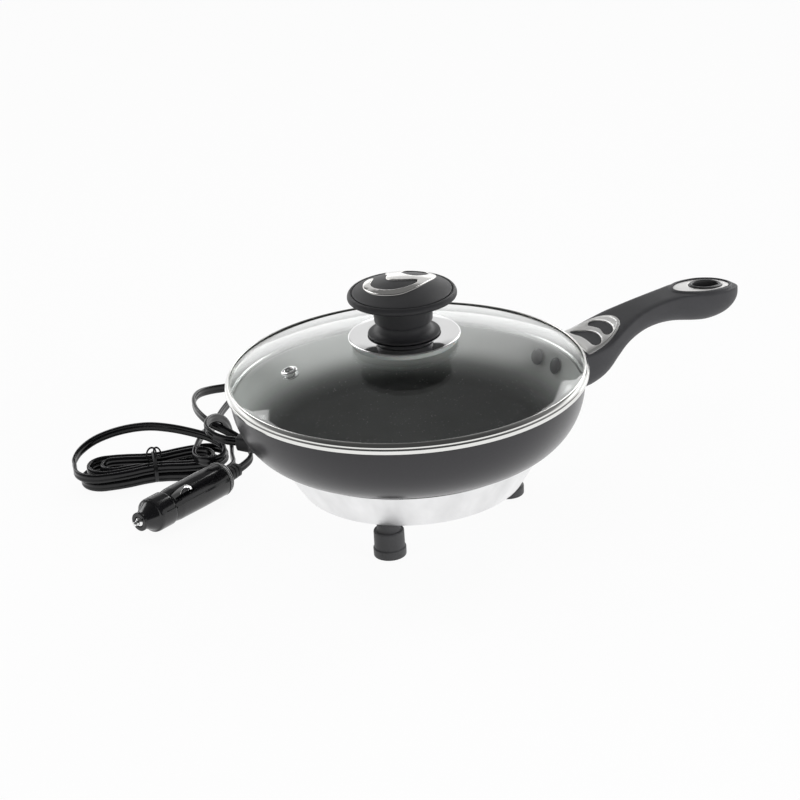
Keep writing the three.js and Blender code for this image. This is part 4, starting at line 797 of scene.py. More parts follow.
def cut(bm, cutter):
    """Takes the cutter's shape out of the mesh."""
    holders = []
    for part in (bm, cutter):
        mesh = bpy.data.meshes.new("cut")
        part.to_mesh(mesh)
        part.free()
        holders.append(linked("cut", mesh))
    difference = holders[0].modifiers.new("Cut", "BOOLEAN")
    difference.operation = "DIFFERENCE"
    difference.solver = "EXACT"
    difference.object = holders[1]
    return final_shape(*holders)


# The camera stands where the photograph was taken from
CAMERA_PLACE = (-0.74555, -1.1740, 0.6658)
CAMERA_HEADING = -29.8
CAMERA_TILT = 66.26
CAMERA_ROLL = -3.52
CAMERA_LENS = 117.0
CAMERA_SENSOR = 36
CAMERA_REACH = 20


class SKILLET_OT_camera(bpy.types.Operator):
    """Stand the camera where the photograph was taken from"""

    bl_idname = "skillet.camera"
    bl_label = "Camera"

    def execute(self, context):
        data = bpy.data.cameras.new("Camera")
        data.lens = CAMERA_LENS
        data.sensor_width = CAMERA_SENSOR
        data.clip_end = CAMERA_REACH
        camera = linked("Camera", data)
        matrix = Matrix.Translation(CAMERA_PLACE)
        for angle, axis in ((CAMERA_HEADING, "Z"), (CAMERA_TILT, "X"), (CAMERA_ROLL, "Z")):
            matrix = matrix @ Matrix.Rotation(math.radians(angle), 4, axis)
        camera.matrix_world = matrix
        context.scene.camera = camera
        return {"FINISHED"}


# The cord's route, in millimetres about the pan's axis
BOOT_ANGLE = 130
BOOT_HEIGHT = 33
BOOT_END = 108
HANK_TURNS = 4.5
HANK_STEPS = 48
RUN_STEPS = 6
HANK_LENGTH_STEP = 8
HANK_WIDTH_STEP = 3.6
HANK_PINCH = 4.5
HANK_PINCH_LENGTH = 15
HANK_LAYER = 5.9
HANK_FIRST_HEIGHT = 4
HANK_CENTRE = (-101.5, 133.5)
HANK_ANGLE = -21.5
FOLD_SHARE = 1 / 3
PLUG_TIP = (-150, 62)
PLUG_ANGLE = 19.4
SLEEVE_LENGTH = 12
# How far the cord reaches into the boot and into the plug's sleeve
HELD_LENGTH = 3
LEAD_POINTS = [
    (-74.2, 88.4, 33.2), (-78.4, 95.5, 34.5), (-78.5, 105.5, 36), (-72, 114.5, 36), (-62.5, 121.5, 32.5),
    (-54.5, 127, 24.5), (-50.5, 130.8, 14.5), (-50.8, 130.6, 7),
]
TAIL_POINTS = [
    (-140.8, 163.4, 10.6), (-134, 169.5, 13), (-125, 170, 17), (-116, 165.5, 21), (-106, 158, 24.5),
    (-96.5, 148, 27), (-88, 137, 27.5), (-80, 126.5, 26.5), (-72.5, 116, 24.5), (-68.5, 106, 21.5),
    (-72, 98.8, 18.6), (-79.5, 98.5, 17.4), (-84.5, 104.5, 16.9), (-84, 113.5, 16.6), (-77, 124, 17.2),
    (-67, 136, 17.2), (-57.5, 149, 12), (-49.5, 161.5, 5), (-41.5, 172, 4), (-31, 184, 4),
    (-20, 194.5, 4.2), (-9, 202.5, 5.5), (2, 204.5, 9), (9, 198.5, 13), (8, 189.5, 16.5), (-1, 184, 19),
    (-14, 182.5, 20.5), (-26, 182.5, 21.5), (-37, 182, 23), (-47, 177.5, 25), (-55.5, 168, 26.5),
    (-61.5, 154.5, 27), (-64, 141, 27), (-63, 130.5, 25.5), (-58.5, 121.5, 23), (-54.5, 112.5, 20),
    (-52.5, 104, 16.5), (-55, 97.2, 12.8),
]
HANK_PLACE = Matrix.Translation((*HANK_CENTRE, 0)) @ Matrix.Rotation(math.radians(HANK_ANGLE), 4, "Z")


def loop_point(share, half_length, half_width):
    """A place on one loop of the hank: two straight runs and two half circles."""
    straight = half_length - half_width
    half, way = (share, 1) if share < 0.5 else (share - 0.5, -1)
    run = 0.5 - FOLD_SHARE
    if half < FOLD_SHARE / 2:
        angle = math.pi * half / FOLD_SHARE
        along, across = straight + half_width * math.cos(angle), -half_width * math.sin(angle)
    elif half < FOLD_SHARE / 2 + run:
        along, across = straight * (1 - 2 * (half - FOLD_SHARE / 2) / run), -half_width
    else:
        angle = math.pi * (0.5 - half) / FOLD_SHARE
        along, across = -straight - half_width * math.cos(angle), -half_width * math.sin(angle)
    return along * way, across * way


def hank_point(cord, turn):
    rise = (0.5 - FOLD_SHARE) * 0.7
    level = min(max((turn - HANK_TURNS / 2) / rise + 0.5, 0), 1)
    inward = min(turn, HANK_TURNS - turn)
    half_length = cord.half_length - HANK_LENGTH_STEP * inward
    along, across = loop_point(turn % 1, half_length, cord.half_width - HANK_WIDTH_STEP * inward)
    pinch = HANK_PINCH * math.exp(-((along / HANK_PINCH_LENGTH) ** 2))
    if across:
        across -= math.copysign(pinch, across)
    return Vector((along, across, HANK_FIRST_HEIGHT + HANK_LAYER * level * level * (3 - 2 * level)))


def cord_route(cord, plug):
    """The cord's middle line from the boot to the plug's sleeve, and the boot's end."""
    out = level_way(BOOT_ANGLE)
    boot_end = out * BOOT_END + Vector((0, 0, BOOT_HEIGHT))
    last = int(HANK_TURNS * HANK_STEPS)
    turns = [hank_point(cord, index / HANK_STEPS) for index in range(last + 1)]
    side = Vector((0, 1, 0))
    start = HANK_PLACE @ (turns[0] + side * cord.width)
    end = HANK_PLACE @ (turns[-1] + side * cord.width)
    hank_side = HANK_PLACE.to_3x3() @ side
    plug_out = level_way(PLUG_ANGLE)
    sleeve = Vector((*PLUG_TIP, plug.height)) + plug_out * (plug.rear + SEAT_GAP + SLEEVE_LENGTH)
    near, far = SEAT_GAP, SEAT_GAP + cord.width / 2
    lead = [boot_end + out * near, boot_end + out * far, *LEAD_POINTS]
    lead += [start + hank_side * far, start + hank_side * near]
    tail = [end + hank_side * near, end + hank_side * far, *TAIL_POINTS]
    tail += [sleeve + plug_out * far, sleeve + plug_out * near]
    hank = [HANK_PLACE @ point for point in turns]
    route = [boot_end - out * HELD_LENGTH, *catmull(lead, RUN_STEPS), *hank, *catmull(tail, RUN_STEPS)]
    return [*route, sleeve - plug_out * HELD_LENGTH], boot_end


# The cord's section: how round its edges and its faces are, and the groove between its cores
EDGE_POWER = 0.9
FACE_POWER = 0.62
GROOVE_DEPTH = 0.42
GROOVE_WIDTH = 0.7


def cord_section(cord):
    """Outline of a flat twin cord with a groove between its two cores; its width stands along Y."""
    section = []
    for index in range(CORD_STEPS):
        angle = 2 * math.pi * (index + 0.5) / CORD_STEPS
        wide = cord.width / 2 * rounded_power(math.cos(angle), EDGE_POWER)
        groove = 1 - GROOVE_DEPTH * math.exp(-((wide / GROOVE_WIDTH) ** 2))
        section.append((cord.thickness / 2 * rounded_power(math.sin(angle), FACE_POWER) * groove, wide))
    return section


def swept(route, section):
    """Sweeps a closed outline along a route with its second axis kept upright."""
    outline = bpy.data.curves.new("section", "CURVE")
    outline.dimensions = "2D"
    add_line(outline, section)
    outline_holder = linked("section", outline)
    curve = bpy.data.curves.new("route", "CURVE")
    curve.dimensions = "3D"
    curve.twist_mode = "Z_UP"
    curve.bevel_mode = "OBJECT"
    curve.bevel_object = outline_holder
    curve.use_fill_caps = True
    add_line(curve, route, closed=False)
    bm = final_shape(linked("route", curve), outline_holder)
    bmesh.ops.remove_doubles(bm, verts=bm.verts[:], dist=1e-3)
    bmesh.ops.recalc_face_normals(bm, faces=bm.faces[:])
    return bm


# The hank's tie, and how far the cord's route may stray from its stated length
# Section of the hank's tie: distance along the hank, distance from the cord
TIE_SECTION = [(-1.1, 0.1), (-1.1, 0.5), (0, 0.7), (1.1, 0.5), (1.1, 0.1)]
TIE_POWER = 0.55
TIE_SIDES = 48
# The tie's two twisted ends: distance along, distance across, radius, lean in degrees
TIE_LOOPS = [(-1.5, -1, 3.2, 25), (2.2, 1.4, 2.6, -40)]
TIE_WIRE = 0.5
TIE_LOOP_STRETCH = 1.25
TIE_LOOP_STEPS = 28
LENGTH_TOLERANCE_SHARE = 0.03


def tie_loop(centre, radius, lean):
    """One upright loop of the tie's twisted end."""
    turn = Matrix.Translation(centre) @ Matrix.Rotation(math.radians(lean), 4, "Z")

    def section(around):
        out = Vector((math.cos(around), 0, math.sin(around)))

        def place(angle):
            away = out * (radius + TIE_WIRE * math.cos(angle))
            return turn @ Vector((away.x, TIE_WIRE * math.sin(angle), away.z * TIE_LOOP_STRETCH))
        return place
    sections = [section(2 * math.pi * step / TIE_LOOP_STEPS) for step in range(TIE_LOOP_STEPS)]
    return lofted(sections, WIRE_SIDES, closed=True)


class SKILLET_OT_cord(bpy.types.Operator):
    """Lay the flat twin cord from the boot through its hank to the plug"""

    bl_idname = "skillet.cord"
    bl_label = "Cord and tie"

    def execute(self, context):
        scene = context.scene
        cord = Millimetres(scene.skillet_cord)
        plug = Millimetres(scene.skillet_plug)
        colours = scene.skillet_colours
        route, boot_end = cord_route(cord, plug)
        flex = gloss_finish("Black flex", tuple(colours.flex), 0.17, specular=0.4)
        bm = swept(route, cord_section(cord))
        stretches = ["cord_lead", "cord_hank", "cord_tail"]
        piece = finish_piece("flex", bm, [flex], "skillet", stretches, sharp=60)

        half_wide = cord.half_width - HANK_PINCH + cord.thickness / 2 + SEAT_GAP
        low = HANK_FIRST_HEIGHT - cord.width / 2 - SEAT_GAP
        high = HANK_FIRST_HEIGHT + HANK_LAYER + cord.width / 2 + SEAT_GAP
        half_high = (high - low) / 2
        tie = lofted([
            rounded_ring(along, half_wide + grow, half_high + grow, TIE_POWER, (low + high) / 2)
            for along, grow in TIE_SECTION
        ], TIE_SIDES, closed=True)
        for along, across, radius, lean in TIE_LOOPS:
            tie = joined(tie, tie_loop(Vector((along, across, high + radius)), radius, lean))
        dark = soft_finish("Tie plastic", (0.012, 0.012, 0.013), 0.38, grain=1200)
        nodes = ["cord_tie"]
        tie = finish_piece("cord_tie_band", tie, [dark], "skillet", nodes, place=HANK_PLACE)

        world = [tuple(TO_WORLD @ point) for point in route]
        measured = sum((Vector(b) - Vector(a)).length for a, b in zip(world, world[1:]))
        stated = scene.skillet_cord.real_length
        print(f"cord: {measured:.4f} m along its route, {stated:.4f} m stated")
        if abs(measured - stated) > stated * LENGTH_TOLERANCE_SHARE:
            raise RuntimeError(f"the cord's route is {measured:.3f} m long, its stated length {stated:.3f} m")
        tuple(TO_WORLD @ boot_end)
        scene.skillet_cord.width
        return {"FINISHED"}


# How far the rivets sit under the pan's rim, and how far round from the handle's middle
RIVET_DROP = 16.3
RIVET_ANGLES = (-5.6, 5.6)


class SKILLET_OT_pan(bpy.types.Operator):
    """Turn the pan and set its rivets"""

    bl_idname = "skillet.pan"
    bl_label = "Pan and rivets"

    def execute(self, context):
        pan = Millimetres(context.scene.skillet_pan)
        colours = context.scene.skillet_colours
        outside = pan_arc(pan, pan.radius - pan.flat_radius, pan.curve_top - pan.bottom)
        inside = pan_arc(pan, pan.radius - pan.flat_radius - pan.wall, pan.curve_top - pan.bottom - pan.floor)
        ledge_radius = pan.radius - pan.wall + pan.ledge_width
        inside = [point for point in inside if point[1] < pan.ledge - pan.ledge_width]
        bm = spun([
            (0, pan.bottom), *outside, (pan.radius, pan.rim, 0.5), (ledge_radius, pan.rim, 0.5),
            (ledge_radius, pan.ledge, 0.25), (ledge_radius - pan.ledge_width, pan.ledge - 0.1, 0.3),
            *reversed(inside), (0, pan.bottom + pan.floor),
        ], steps=LARGE_SPIN_STEPS)

        def pick(centre, normal):
            """Which of the three finishes a face gets: outside, inside or bright."""
            radius = math.hypot(centre.x, centre.y)
            outward = normal.x * centre.x + normal.y * centre.y
            if centre.z > pan.rim - 0.35:
                return 2
            if radius > pan.flat_radius and outward > 0.02 * radius:
                return 0
            if centre.z < pan.bottom + pan.floor / 2 and radius <= pan.flat_radius + 2:
                return 0
            return 2 if centre.z > pan.ledge - pan.ledge_width * 1.4 else 1

        # top is the pale painted sheen of the inside wall
        inner, top = tuple(colours.non_stick), tuple(colours.painted_wall_sheen)
        finishes = [
            coating_finish("Dark satin coating", tuple(colours.coating)),
            non_stick_finish("Speckled inside coating", inner, top),
            metal_finish("Bright cut edge", (0.86, 0.87, 0.86), 0.2, marks=2500.0),
        ]
        finish_piece("pan_body", bm, finishes, "skillet", ["pan_shell"], pick=pick)

        height = pan.rim - RIVET_DROP
        rise = pan.curve_top - pan.bottom
        share = (pan.curve_top - height) / rise
        lean = math.atan2((pan.radius - pan.flat_radius) * share, rise * math.sqrt(1 - share ** 2))
        seat = -pan.floor - SEAT_GAP * 3
        coat = soft_finish("Rivet coating", (0.085, 0.085, 0.09), 0.34)
        for number, angle in enumerate(RIVET_ANGLES, 1):
            head = spun([
                (0, seat - 2.5), (2.9, seat - 2.2), (4.2, seat - 1.4), (4.8, seat - 0.6, 0.3),
                (4.8, seat, 0.2), (2.2, seat), (2.2, 2.4), (3.4, 2.4, 0.3), (3.4, 3.8, 0.8), (0, 3.8),
            ], steps=SMALL_SPIN_STEPS)
            place = about(pan_radius_at(pan, height), angle, height)
            place = place @ Matrix.Rotation(math.pi / 2 + lean, 4, "Y")
            nodes = [f"rivet_{number}"]
            finish_piece(f"rivet_head_{number}", head, [coat], "skillet", nodes, place=place)
        return {"FINISHED"}


FIRST_FOOT_ANGLE = -135.5


class SKILLET_OT_base(bpy.types.Operator):
    """Turn the heater base and its feet, and mould the cord's boot"""

    bl_idname = "skillet.base"
    bl_label = "Heater base, feet and boot"

    def execute(self, context):
        base = Millimetres(context.scene.skillet_base)
        colours = context.scene.skillet_colours
        # The aluminium's upright stripes are painted reflection bands
        aluminium = metal_finish(
            "Brushed aluminium", tuple(colours.aluminium), 0.3, marks=2600.0, relief=0.00003, streaks=42.0,
        )
        lip_top = base.bottom + 1
        slope = (base.top_radius - base.bottom_radius) / (base.top - base.bottom)
        inner = base.bottom_radius + slope - base.wall
        skirt = spun([
            (base.bottom_radius - base.lip, base.bottom, 0.3), (base.bottom_radius, base.bottom, 0.5),
            (base.top_radius - 0.4, base.top - 0.5, 0.4), (base.top_radius, base.top, 0.3),
            (base.top_radius - base.wall, base.top, 0.3), (inner, lip_top, 0.5),
            (base.bottom_radius - base.lip, lip_top, 0.3),
        ], steps=LARGE_SPIN_STEPS)
        finish_piece("base_skirt", skirt, [aluminium], "skillet", ["heater_skirt"])

        rubber = soft_finish("Foot rubber", tuple(colours.rubber), 0.5, grain=1500, relief=0.00006)
        radius, shoulder, top = base.foot_radius, base.foot_shoulder, base.bottom - SEAT_GAP
        for number in (1, 2, 3):
            foot = spun([
                (3.7, 0, 0.3), (radius + 0.4, 0, 0.6), (radius + 0.5, 5, 0.3), (radius + 0.05, 5.5, 0.15),
                (radius - 0.15, 5.7, 0.2), (radius - 0.2, shoulder - 0.7, 0.5),
                (radius - 0.8, shoulder - 0.2, 0.3), (6.9, shoulder - 0.4, 0.4),
                (6.6, shoulder + 0.6, 0.3), (6.5, top, 0.2), (3.9, top), (3.9, base.bottom + 1, 0.1),
                (1.9, base.bottom + 1), (1.9, 8.3), (3.7, 8.3),
            ], steps=SMALL_SPIN_STEPS)
            place = about(base.foot_circle, FIRST_FOOT_ANGLE + 120 * (number - 1))
            name, nodes = f"rubber_foot_{number}", [f"foot_{number}"]
            finish_piece(name, foot, [rubber], "skillet", nodes, place=place)

        wall = base.bottom_radius + slope * (BOOT_HEIGHT - base.bottom)
        start = wall - 3.4
        boot = lofted([rounded_ring(*row, middle=BOOT_HEIGHT) for row in (
            (start - 1.6, 6.8, 5.6, 0.9), (start, 6.8, 5.8, 0.8), (start + 0.1, 4.7, 4.7, 1),
            (wall + 0.2, 4.7, 4.7, 1), (wall + 3.2, 6.4, 5.9), (wall + 4, 6.5, 6), (wall + 14, 6.5, 6),
            (wall + 14.6, 6.1, 5.6), (wall + 15.8, 6.1, 5.6), (wall + 16.4, 6.4, 5.9), (wall + 20, 6.2, 5.7),
            (wall + 20.6, 5.7, 5.2), (wall + 21.8, 5.7, 5.2), (wall + 22.4, 6, 5.5), (wall + 26, 5.7, 5.2),
            (wall + 26.6, 5.2, 4.8), (wall + 27.8, 5.2, 4.8), (wall + 28.4, 5.5, 5.1),
            (BOOT_END - 0.8, 4.6, 4.6), (BOOT_END, 3.6, 3.9),
        )], MOULDED_SIDES)
        moulded = soft_finish(*BOOT_PLASTIC, grain=1200)
        place = about(0, BOOT_ANGLE)
        finish_piece("moulded_boot", boot, [moulded], "skillet", ["cord_boot"], place=place)
        return {"FINISHED"}


# Rings that lie on the grip's top: distance outwards from their oval, and height over the grip
LIP_ROWS = [(0.1, -1), (0.15, 0.3), (0.5, 0.75), (1.1, 0.85), (1.9, 0.55), (2.7, -0.1), (3.2, -1)]
BUSH_ROWS = [(0, -0.8), (0.1, 0.4), (0.6, 0.95), (1.3, 1.05), (2, 0.8), (2.5, 0.2), (2.55, -0.6), (1.7, -1)]
# The same distances for the two rings at the bush's lower end
BUSH_TUBE = (0.15, 1.7)
PLATE_PITCH = 2.0
GRIP_SIDES = 88
BORE_SIDES = 64
LIP_SIDES = 96
BUSH_SIDES = 72
# Rings of the grip: near the pan, where they follow its wall, and from there to the end
WALL_RINGS = 8
GRIP_RINGS = 60


class SKILLET_OT_handle(bpy.types.Operator):
    """Shape the grip, its two inlaid plates and the bush round the hanging hole"""

    bl_idname = "skillet.handle"
    bl_label = "Handle"

    def execute(self, context):
        pan = Millimetres(context.scene.skillet_pan)
        grip = Millimetres(context.scene.skillet_handle)
        colours = context.scene.skillet_colours
        gap = 0.6
        meet = pan.radius + 16
        start = pan.radius - 1

        def grip_ring(x, share=None):
            """A ring round the grip at a distance, or on the way there from the pan's own round wall."""
            half_width, top, depth = handle_at(grip, x)

            def place(angle):
                across, below = grip_section(half_width, depth, angle)
                height = top + below
                if share is None:
                    return Vector((x, across, height))
                wall = math.sqrt(max(pan_radius_at(pan, height, gap) ** 2 - across ** 2, 1))
                return Vector((wall + (meet - wall) * share, across, height))
            return place

        def oval_ring(centre, halves, grow, height_at):
            def place(angle):
                x = centre + (halves[0] + grow) * math.cos(angle)
                y = (halves[1] + grow) * math.sin(angle)
                return Vector((x, y, height_at(x, y)))
            return place

        def over_grip(lift):
            return lambda x, y: grip_top_at(grip, min(x, grip.end - 4), y * 0.9) + lift

        def laid(plate, lift):
            """Slices the flat plate and lays it on the grip's top."""
            sliced(plate, PLATE_PITCH)
            for vert in plate.verts:
                vert.co.z += grip_top_at(grip, vert.co.x, vert.co.y) + lift - grip.plate / 2
            return plate

        shares = [step / WALL_RINGS for step in range(WALL_RINGS)]
        rings = [grip_ring(start + (meet - start) * share, share) for share in shares]
        reach = grip.end - 0.3 - meet
        turns = [step / GRIP_RINGS * math.pi / 2 for step in range(GRIP_RINGS + 1)]
        rings += [grip_ring(meet + reach * math.sin(turn)) for turn in turns]
        _, hole_top, hole_depth = handle_at(grip, HOLE_CENTRE)
        bore = [
            oval_ring(HOLE_CENTRE, HOLE_HALVES, 1.9, lambda x, y, height=height: height)
            for height in (hole_top + 9, hole_top - hole_depth - 9)
        ]
        body = cut(lofted(rings, GRIP_SIDES), lofted(bore, BORE_SIDES))
        lip = [
            oval_ring(END_PLATE_CENTRE, END_PLATE_HALVES, grow, over_grip(lift))
            for grow, lift in LIP_ROWS
        ]
        body = joined(body, lofted(lip, LIP_SIDES, closed=True))
        soft = soft_finish("Soft grip", tuple(colours.grip), 0.5, specular=0.4)
        finish_piece("soft_grip", body, [soft], "skillet", ["handle_grip"], sharp=45)

        satin = metal_finish("Satin plate", (0.84, 0.835, 0.82), 0.34, relief=0.000001)
        outline, near, far = (smooth_outline(points) for points in (ROOT_PLATE, NEAR_COMMA, FAR_COMMA))
        flange = laid(flat_plate([outline, near, far], grip.plate, 0.3), 0.4)
        field = laid(flat_plate([inset(outline, 2), near, far], grip.plate, 0.35), 0.75)
        nodes = ["handle_root_plate"]
        finish_piece("root_plate", joined(flange, field), [satin], "skillet", nodes, sharp=40)

        outlines = [oval(END_PLATE_CENTRE, END_PLATE_HALVES), oval(HOLE_CENTRE, HOLE_HALVES, 2.7)]
        end_plate = laid(flat_plate(outlines, grip.plate, 0.3), 0.15)
        finish_piece("end_plate", end_plate, [satin], "skillet", ["handle_end_plate"], sharp=40)

        underside = hole_top - hole_depth + 2.4
        inner, outer = (
            oval_ring(HOLE_CENTRE, HOLE_HALVES, grow, lambda x, y: underside)
            for grow in BUSH_TUBE
        )
        bush = [oval_ring(HOLE_CENTRE, HOLE_HALVES, grow, over_grip(lift)) for grow, lift in BUSH_ROWS]
        bush = lofted([inner, *bush, outer], BUSH_SIDES, closed=True)
        dark = soft_finish("Bush plastic", (0.028, 0.028, 0.029), 0.34)
        finish_piece("hole_bush", bush, [dark], "skillet", ["hanging_bush"], sharp=40)
        return {"FINISHED"}


RIM_WALL = 1.2
VENT_ANGLE = 166


def glass_edge(lid):
    return lid.radius - RIM_WALL - SEAT_GAP


def dome_sphere(lid):
    """Radius of the sphere that the glass is a cap of."""
    return (glass_edge(lid) ** 2 + lid.rise ** 2) / (2 * lid.rise)


def dome_at(lid, radius):
    """Height of the glass's top surface at a radius."""
    sphere = dome_sphere(lid)
    return lid.apex - sphere + math.sqrt(sphere ** 2 - radius ** 2)


class SKILLET_OT_lid(bpy.types.Operator):
    """Turn the glass, its rolled rim and the steam vent's eyelet"""

    bl_idname = "skillet.lid"
    bl_label = "Lid"

    def execute(self, context):
        lid = Millimetres(context.scene.skillet_lid)
        pan = Millimetres(context.scene.skillet_pan)
        colours = context.scene.skillet_colours
        edge = glass_edge(lid)
        hole = 4.4
        steps = 28
        radii = [hole + (edge - hole) * step / steps for step in range(steps + 1)]
        top = [(radius, dome_at(lid, radius)) for radius in radii]
        bottom = [(radius, dome_at(lid, radius) - lid.glass) for radius in radii]
        bottom[-1] = (*bottom[-1], 0.5)
        top[-1] = (*top[-1], 0.5)
        glass = spun([*bottom, *reversed(top)], steps=LARGE_SPIN_STEPS)
        clear = glass_finish("Clear lid glass", tuple(colours.glass))
        finish_piece("glass_dome", glass, [clear], "lid", ["lid_glass"], sharp=50)

        polished = metal_finish("Rim steel", (0.82, 0.82, 0.80), 0.12, marks=1800.0, relief=0.000006)
        inner = lid.radius - lid.rim_width
        low = pan.rim + SEAT_GAP
        lip = lid.radius - 2.8
        lip_top = dome_at(lid, lip) + 0.95
        under = dome_at(lid, edge) - lid.glass - 0.45
        rim = spun([
            (lip, dome_at(lid, lip) + 0.3, 0.12), (lip, lip_top - 0.15, 0.25),
            (lip + 0.6, lip_top + 0.05, 0.3), (lid.radius - 1.5, lip_top - 0.5, 0.5),
            (lid.radius - 0.5, low + 4.1, 0.5), (lid.radius - 0.8, low + 3.5, 0.2),
            (lid.radius - 0.1, low + 2.9, 0.35), (lid.radius, low + 1.5, 0.7),
            (lid.radius - 0.5, low + 0.3, 0.4), (lid.radius - 1.7, low, 0.5), (inner, low, 0.2),
            (inner, under, 0.1), (edge + 0.3, under), (edge + 0.3, dome_at(lid, edge) + 0.35),
        ], steps=RIM_SPIN_STEPS)
        finish_piece("rolled_rim", rim, [polished], "lid", ["lid_rim"], sharp=50)

        lean = math.asin(lid.vent_distance / dome_sphere(lid))
        place = about(lid.vent_distance, VENT_ANGLE, dome_at(lid, lid.vent_distance))
        place = place @ Matrix.Rotation(lean, 4, "Y")
        under = -lid.glass - 0.4
        eyelet = spun([
            (2.3, under - 0.8, 0.2), (4.6, under - 0.8, 0.3), (4.6, under, 0.1), (3.3, under),
            (3.3, 0.35), (4.7, 0.35, 0.1), (4.6, 0.8, 0.25), (3.7, 1.35, 0.5), (2.8, 1.3, 0.4),
            (2.3, 0.6, 0.3),
        ], steps=SMALL_SPIN_STEPS)
        chrome = metal_finish(*CHROME)
        finish_piece("vent_eyelet", eyelet, [chrome], "lid", ["steam_vent_eyelet"], place=place)
        return {"FINISHED"}


# The swirl on the knob's top, seen from above: one open S with a closed drop in its far bowl
SWIRL = [
    (-9, 18.7), (-12, 18.7), (-15.5, 15.9), (-17.9, 12.5), (-19.7, 8.3), (-20.5, 2.8), (-20, -2.1),
    (-18.1, -6.8), (-15.2, -10.4), (-12, -12.8), (-8.8, -14.1), (-5, -14.5), (-0.6, -14), (4.9, -12.4),
    (12, -8.9), (19.5, -3.8), (23.6, 0.9), (25, 5.4), (24, 10.7), (20.2, 15.6), (14.2, 19.7), (8.2, 22),
    (3.2, 21.6), (0.4, 18.2), (-1, 13.9), (-3.8, 10.4), (-5.4, 7.4), (-5.3, 4.5), (-3.6, 1.6),
    (0.4, -1.7), (5.3, -3.9), (7.2, -5.6), (5.2, -7.9), (-0.1, -9.6), (-6.5, -9.3), (-10.7, -7.3),
    (-14.2, -3.3), (-16, 2.3), (-15.6, 7), (-13.6, 10.7), (-10.9, 13.7), (-8.4, 16.4),
]
SWIRL_DROP = [
    (7.2, 10.3), (7.3, 4.9), (9.5, 1.6), (13.3, 0.8), (17.6, 2), (21.2, 5.4), (22.3, 9), (20.3, 12.9),
    (16, 15.9), (11.5, 16.6), (8.6, 14.4),
]


INLAY_PITCH = 2.2
INLAY_LIFT = 0.6
DOME_STEPS = 20


class SKILLET_OT_knob(bpy.types.Operator):
    """Turn the knob's plate, gasket, neck and cap, and inlay its swirl"""

    bl_idname = "skillet.knob"
    bl_label = "Knob"

    def execute(self, context):
        knob = Millimetres(context.scene.skillet_knob)
        lid = Millimetres(context.scene.skillet_lid)
        colours = context.scene.skillet_colours
        chrome = metal_finish(*CHROME)
        soft = soft_finish("Knob plastic", shade(tuple(colours.grip), 0.55), 0.5, specular=0.45)

        top = knob.plate_bottom - SEAT_GAP
        under = [(radius, dome_at(lid, radius) + 0.4) for radius in (3.2, 12, 21, 30.2)]
        gasket = spun([*under, (30.2, top, 0.3), (3.2, top)])
        finish_piece("gasket_ring", gasket, [silicone_finish(*SILICONE)], "lid", ["knob_gasket"])

        radius = knob.plate_radius
        low = knob.plate_bottom
        brow = [
            (radius - 11 * (1 - share), low + 2.15 - 0.9 * share ** 2)
            for share in (0.9, 0.75, 0.6, 0.45, 0.3, 0.15)
        ]
        plate = spun([
            (3.2, low), (radius - 1.2, low, 0.3), (radius - 0.6, low + 0.3, 0.2), (radius, low + 0.6, 0.25),
            (radius - 0.5, low + 1.35, 0.4), *brow, (20.4, low + 1.75, 0.4), (3.2, low + 1.7),
        ], steps=LARGE_SPIN_STEPS)
        finish_piece("bright_plate", plate, [chrome], "lid", ["knob_plate"], sharp=40)

        low = knob.neck_bottom
        neck = knob.neck_radius
        high = knob.cap_bottom - 0.2
        body = spun([
            (0, low), (20.6, low, 0.3), (20.4, low + 0.9, 0.4), (17.6, low + 1.35, 0.9),
            (15.2, low + 2.9, 1.4), (14.5, low + 5.6, 0.8), (14.7, low + 7.2, 0.2),
            (neck - 0.3, low + 7.3, 0.4), (neck, low + 8, 0.4), (neck + 0.4, low + 14, 1),
            (neck + 1, high, 0.3), (8, high + 0.1), (8, high + 1.6), (0, high + 1.6),
        ])
        finish_piece("waisted_neck", body, [soft], "lid", ["knob_neck"], sharp=40)

        low = knob.cap_bottom
        groove = 28.2
        groove_height = low + 4.4
        drop = knob.cap_apex - groove_height

        def cap_dome(radius):
            return knob.cap_apex - drop * (radius / groove) ** 2

        radii = [groove * (DOME_STEPS - step) / DOME_STEPS for step in range(DOME_STEPS + 1)]
        domes = [(radius, cap_dome(radius)) for radius in radii]
        domes[0] = (groove - 0.1, cap_dome(groove - 0.1), 0.3)
        cap = spun([
            (0, low + 1.8), (8.3, low + 1.8), (8.3, low, 0.2), (26, low, 1.4), (29.4, low + 0.15, 0.7),
            (knob.cap_radius - 0.2, low + 0.8, 0.5), (knob.cap_radius, low + 2, 0.6),
            (knob.cap_radius - 0.4, low + 3.4, 0.7), (groove + 1.2, groove_height + 0.2, 0.5),
            (groove + 0.55, groove_height - 0.2, 0.2), (groove + 0.35, groove_height - 0.9, 0.15),
            (groove, groove_height - 0.9, 0.15), *domes,
        ], steps=LARGE_SPIN_STEPS)
        finish_piece("domed_cap", cap, [soft], "lid", ["knob_cap"], sharp=45)

        inlay = flat_plate([smooth_outline(SWIRL, 5), smooth_outline(SWIRL_DROP, 6)], knob.inlay, 0.5)
        sliced(inlay, INLAY_PITCH)
        for vert in inlay.verts:
            vert.co.z += cap_dome(math.hypot(vert.co.x, vert.co.y)) + INLAY_LIFT - knob.inlay / 2
        polish = metal_finish("Swirl metal", (0.72, 0.71, 0.69), 0.12)
        finish_piece("swirl_inlay", inlay, [polish], "lid", ["knob_inlay"], sharp=50)
        return {"FINISHED"}


# The spring behind the plug's tip, from the plug's front end
SPRING_START = 11.3
SPRING_LENGTH = 7.4
SPRING_RADIUS = 3.0
SPRING_WIRE = 0.4
SPRING_TURNS = 5
SPRING_STEPS = 80
